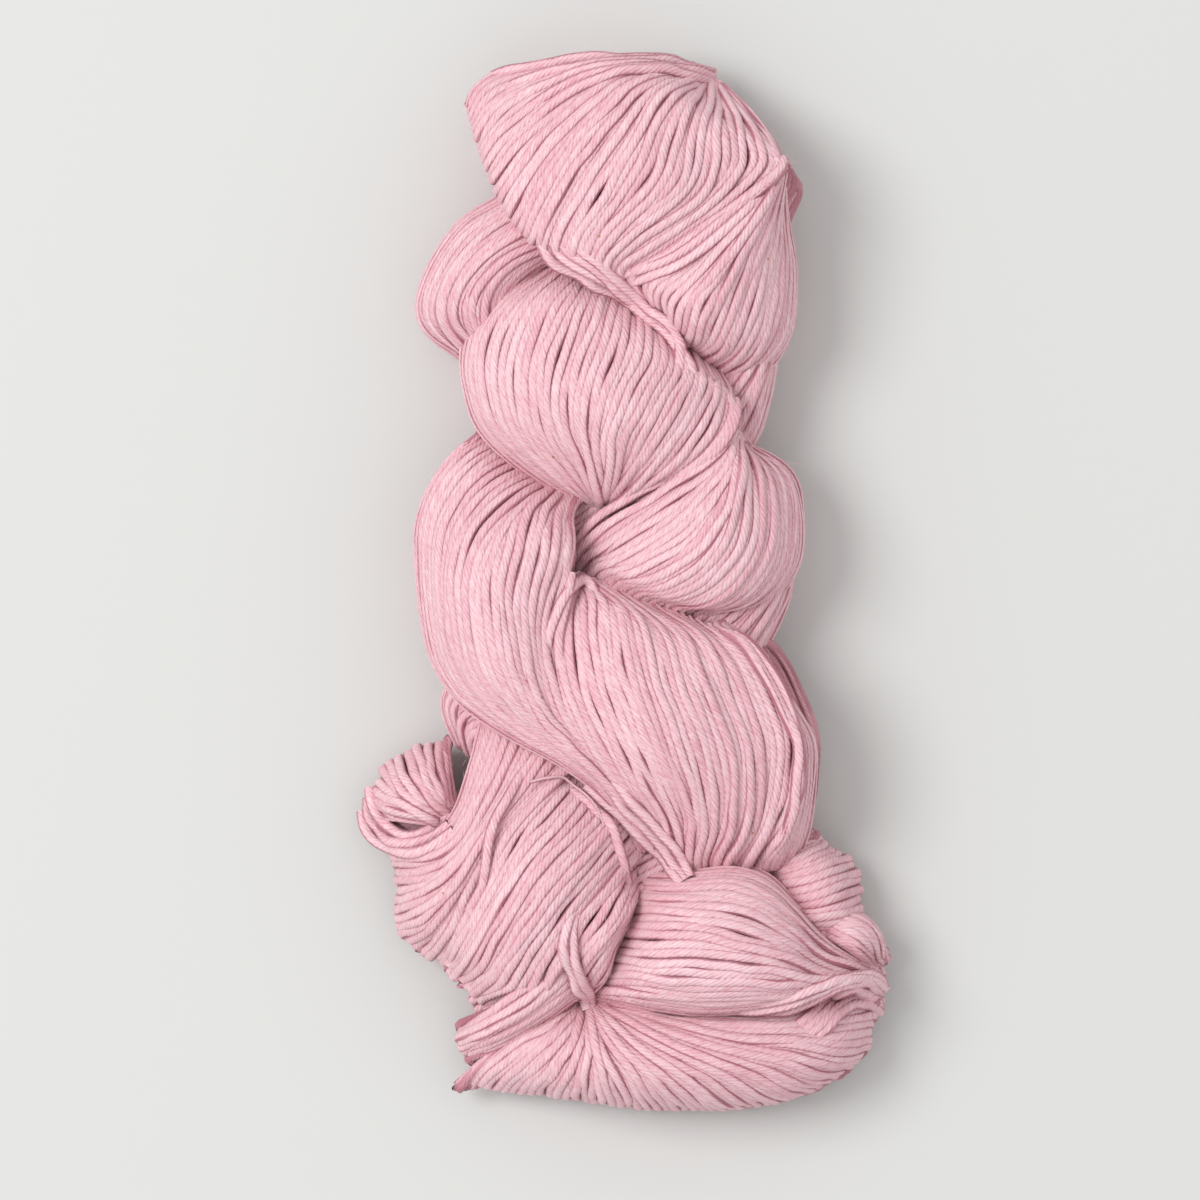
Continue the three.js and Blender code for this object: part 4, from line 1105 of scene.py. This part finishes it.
def painted_side_shade(n, colour, ridge, along, around, second):
    """The colour with painted shade where a strand turns down to its neighbour and a painted dark line of
    shade beside it, both fading where the surface faces up.
    """
    edge = n.noise(n.vector(n.times(along, 0.5), n.times(second, 60.0), around), 1.0, 3.0)
    flank = n.math("ABSOLUTE", n.math("SUBTRACT", around, 0.5))
    flank = n.line(n.math("SUBTRACT", edge, 0.5), 0.07, flank)
    flank = n.line(ridge, -0.018, flank)
    up = n.add("ShaderNodeSeparateXYZ", _0=n.add("ShaderNodeNewGeometry").outputs["Normal"]).outputs[2]
    covered = n.math("SUBTRACT", 1.0, n.ramp(up, *UPRIGHT))
    turned = n.times(n.ramp(flank, *FLANK), covered)
    crease = n.times(n.ramp(flank, *CREASE), covered)
    broken = n.noise(n.vector(n.times(along, 0.13), n.times(second, 90.0), 4.0), 1.0, 2.0)
    # painted shade on the flanks, then a painted dark line of shade between strands
    colour = n.mix(n.times(turned, 0.6), colour, PINK_SHADE_AND_DARK_FIBRE)
    return n.mix(n.times(crease, n.line(n.ramp(broken, 0.3, 0.6), 0.62, 0.33)), colour, PINK_LINE_SHADE)


def yarn_material():
    n = Nodes("yarn")
    uv = n.add("ShaderNodeUVMap", {"uv_map": "strand"}).outputs[0]
    along, around, _ = n.add("ShaderNodeSeparateXYZ", _0=uv).outputs
    tint = n.add("ShaderNodeAttribute", {"attribute_name": "tint"}).outputs["Color"]
    own, second, sunk = n.add("ShaderNodeSeparateColor", _0=tint).outputs
    position = n.position()
    ply, ridge = ply_ridges(n, along, around, own)
    stroke, fibre = fibre_marks(n, ply, along, own)
    fluff = n.noise(position, FLUFF_SCALE)
    # plies are clear in some patches and felted in others
    clear = n.line(n.noise(position, PATCH_SCALE), 1.6, -0.4)
    # painted shade: darker in the grooves between plies, plus real fibre strokes, fluff and each strand's
    # own tone
    groove_shade_and_fibre = n.times(n.math("SUBTRACT", ridge, 0.6), n.times(clear, 0.6))
    parts = ((stroke, 1.4, -0.15), (fibre, 0.7, -0.35), (fluff, 0.7, -0.35), (own, 0.34, -0.17))
    for part, weight, offset in parts:
        groove_shade_and_fibre = n.math("ADD", groove_shade_and_fibre, n.line(part, weight, offset))
    colour = n.mix(groove_shade_and_fibre, PINK_SHADE_AND_DARK_FIBRE, PINK_LIGHT)
    colour = n.mix(n.times(n.noise(position, BROAD_SCALE), 0.3), colour, PINK_MIDDLE)
    colour = painted_side_shade(n, colour, ridge, along, around, second)
    # painted shade: strands sunk deeper among their neighbours are darker
    colour = n.mix(n.times(sunk, 0.3), colour, PINK_SUNK_SHADE)
    spots = n.add("ShaderNodeTexVoronoi", Vector=position, Scale=FLECK_SCALE).outputs["Distance"]
    colour = n.mix(n.times(n.math("LESS_THAN", spots, FLECK_SIZE), 0.8), colour, FLECK_COLOUR)
    height = n.math("ADD", n.times(ridge, 0.5), n.times(stroke, 0.5))
    height = n.math("ADD", height, n.times(fibre, 0.3))
    height = n.line(fluff, 0.4, height)
    bump = n.add("ShaderNodeBump", Strength=0.8, Distance=BUMP_DEPTH, Height=height)
    return n.finished({
        "Base Color": colour,
        "Roughness": n.line(fibre, 0.1, 0.82),
        "Normal": bump.outputs[0],
        "Sheen Weight": 0.3,
        "Sheen Roughness": 0.45,
        "Sheen Tint": SHEEN_COLOUR,
        "Specular IOR Level": 0.15,
    })


def core_shade_material():
    n = Nodes("inner yarn")
    # painted shade: the core is coloured as the shadowed gaps between strands
    colour = n.mix(n.noise(n.position(), 600.0), CORE_SHADE_COLOUR, PINK_LINE_SHADE)
    return n.finished({"Base Color": colour, "Roughness": 0.95, "Specular IOR Level": 0.1})


def fuzz_material():
    n = Nodes("loose fibre")
    colour = n.mix(n.noise(n.position(), 200.0, 1.0), PINK_MIDDLE, FUZZ_COLOUR)
    return n.finished({"Base Color": colour, "Roughness": 0.7, "Specular IOR Level": 0.2})


def floor_material():
    n = Nodes("floor")
    return n.finished({"Base Color": FLOOR_COLOUR, "Roughness": 0.9, "Specular IOR Level": 0.1})


# The camera, floor and light are in metres
CAMERA_HEIGHT = 3.025
CAMERA_LENS = 360
CAMERA_SENSOR = 36
CAMERA_REACH = 20
PHOTO_MIDDLE = (-6.625, -3.75)  # what the photograph is centred on, in the tables' millimetres
FLOOR = 3.0
KEY_PLACE = (-1.75, 0.6, 2.6)
KEY_SIZE = 1.6
KEY_POWER = 57
STUDIO_LIGHT = 0.815


def add_object(name, data):
    made = bpy.data.objects.new(name, data)
    bpy.context.scene.collection.objects.link(made)
    return made


def add_camera():
    data = bpy.data.cameras.new("camera")
    data.lens, data.sensor_width, data.clip_end = CAMERA_LENS, CAMERA_SENSOR, CAMERA_REACH
    camera = add_object("camera", data)
    camera.location = [(PHOTO_MIDDLE[i] + shift[i]) * MM for i in range(2)] + [CAMERA_HEIGHT]
    bpy.context.scene.camera = camera


def add_floor():
    mesh = bpy.data.meshes.new("floor")
    corners = [(-FLOOR, -FLOOR, 0), (FLOOR, -FLOOR, 0), (FLOOR, FLOOR, 0), (-FLOOR, FLOOR, 0)]
    mesh.from_pydata(corners, [], [(0, 1, 2, 3)])
    mesh.materials.append(floor_material())
    add_object("floor", mesh)


def add_light():
    """One large soft lamp from the left, and even light from all round."""
    data = bpy.data.lights.new("key", "AREA")
    data.shape, data.size, data.energy = "DISK", KEY_SIZE, KEY_POWER
    lamp = add_object("key", data)
    lamp.location = KEY_PLACE
    lamp.rotation_euler = (-Vector(KEY_PLACE)).to_track_quat("-Z", "Y").to_euler()
    world = bpy.data.worlds.new("studio")
    world.use_nodes = True
    background = world.node_tree.nodes["Background"]
    background.inputs[0].default_value = (1, 1, 1, 1)
    background.inputs[1].default_value = STUDIO_LIGHT
    bpy.context.scene.world = world
    bpy.context.scene.view_settings.view_transform = "Standard"


yarn = yarn_material()
build_core(core_shade_material())
for lobe in lobes:
    tubes = lobe_tubes(lobe)
    if tubes.total:
        tubes.build("strands_" + lobe.name, yarn)
laid_tubes().build("strands_laid", yarn)
build_fuzz(fuzz_material())
add_camera()
add_floor()
add_light()
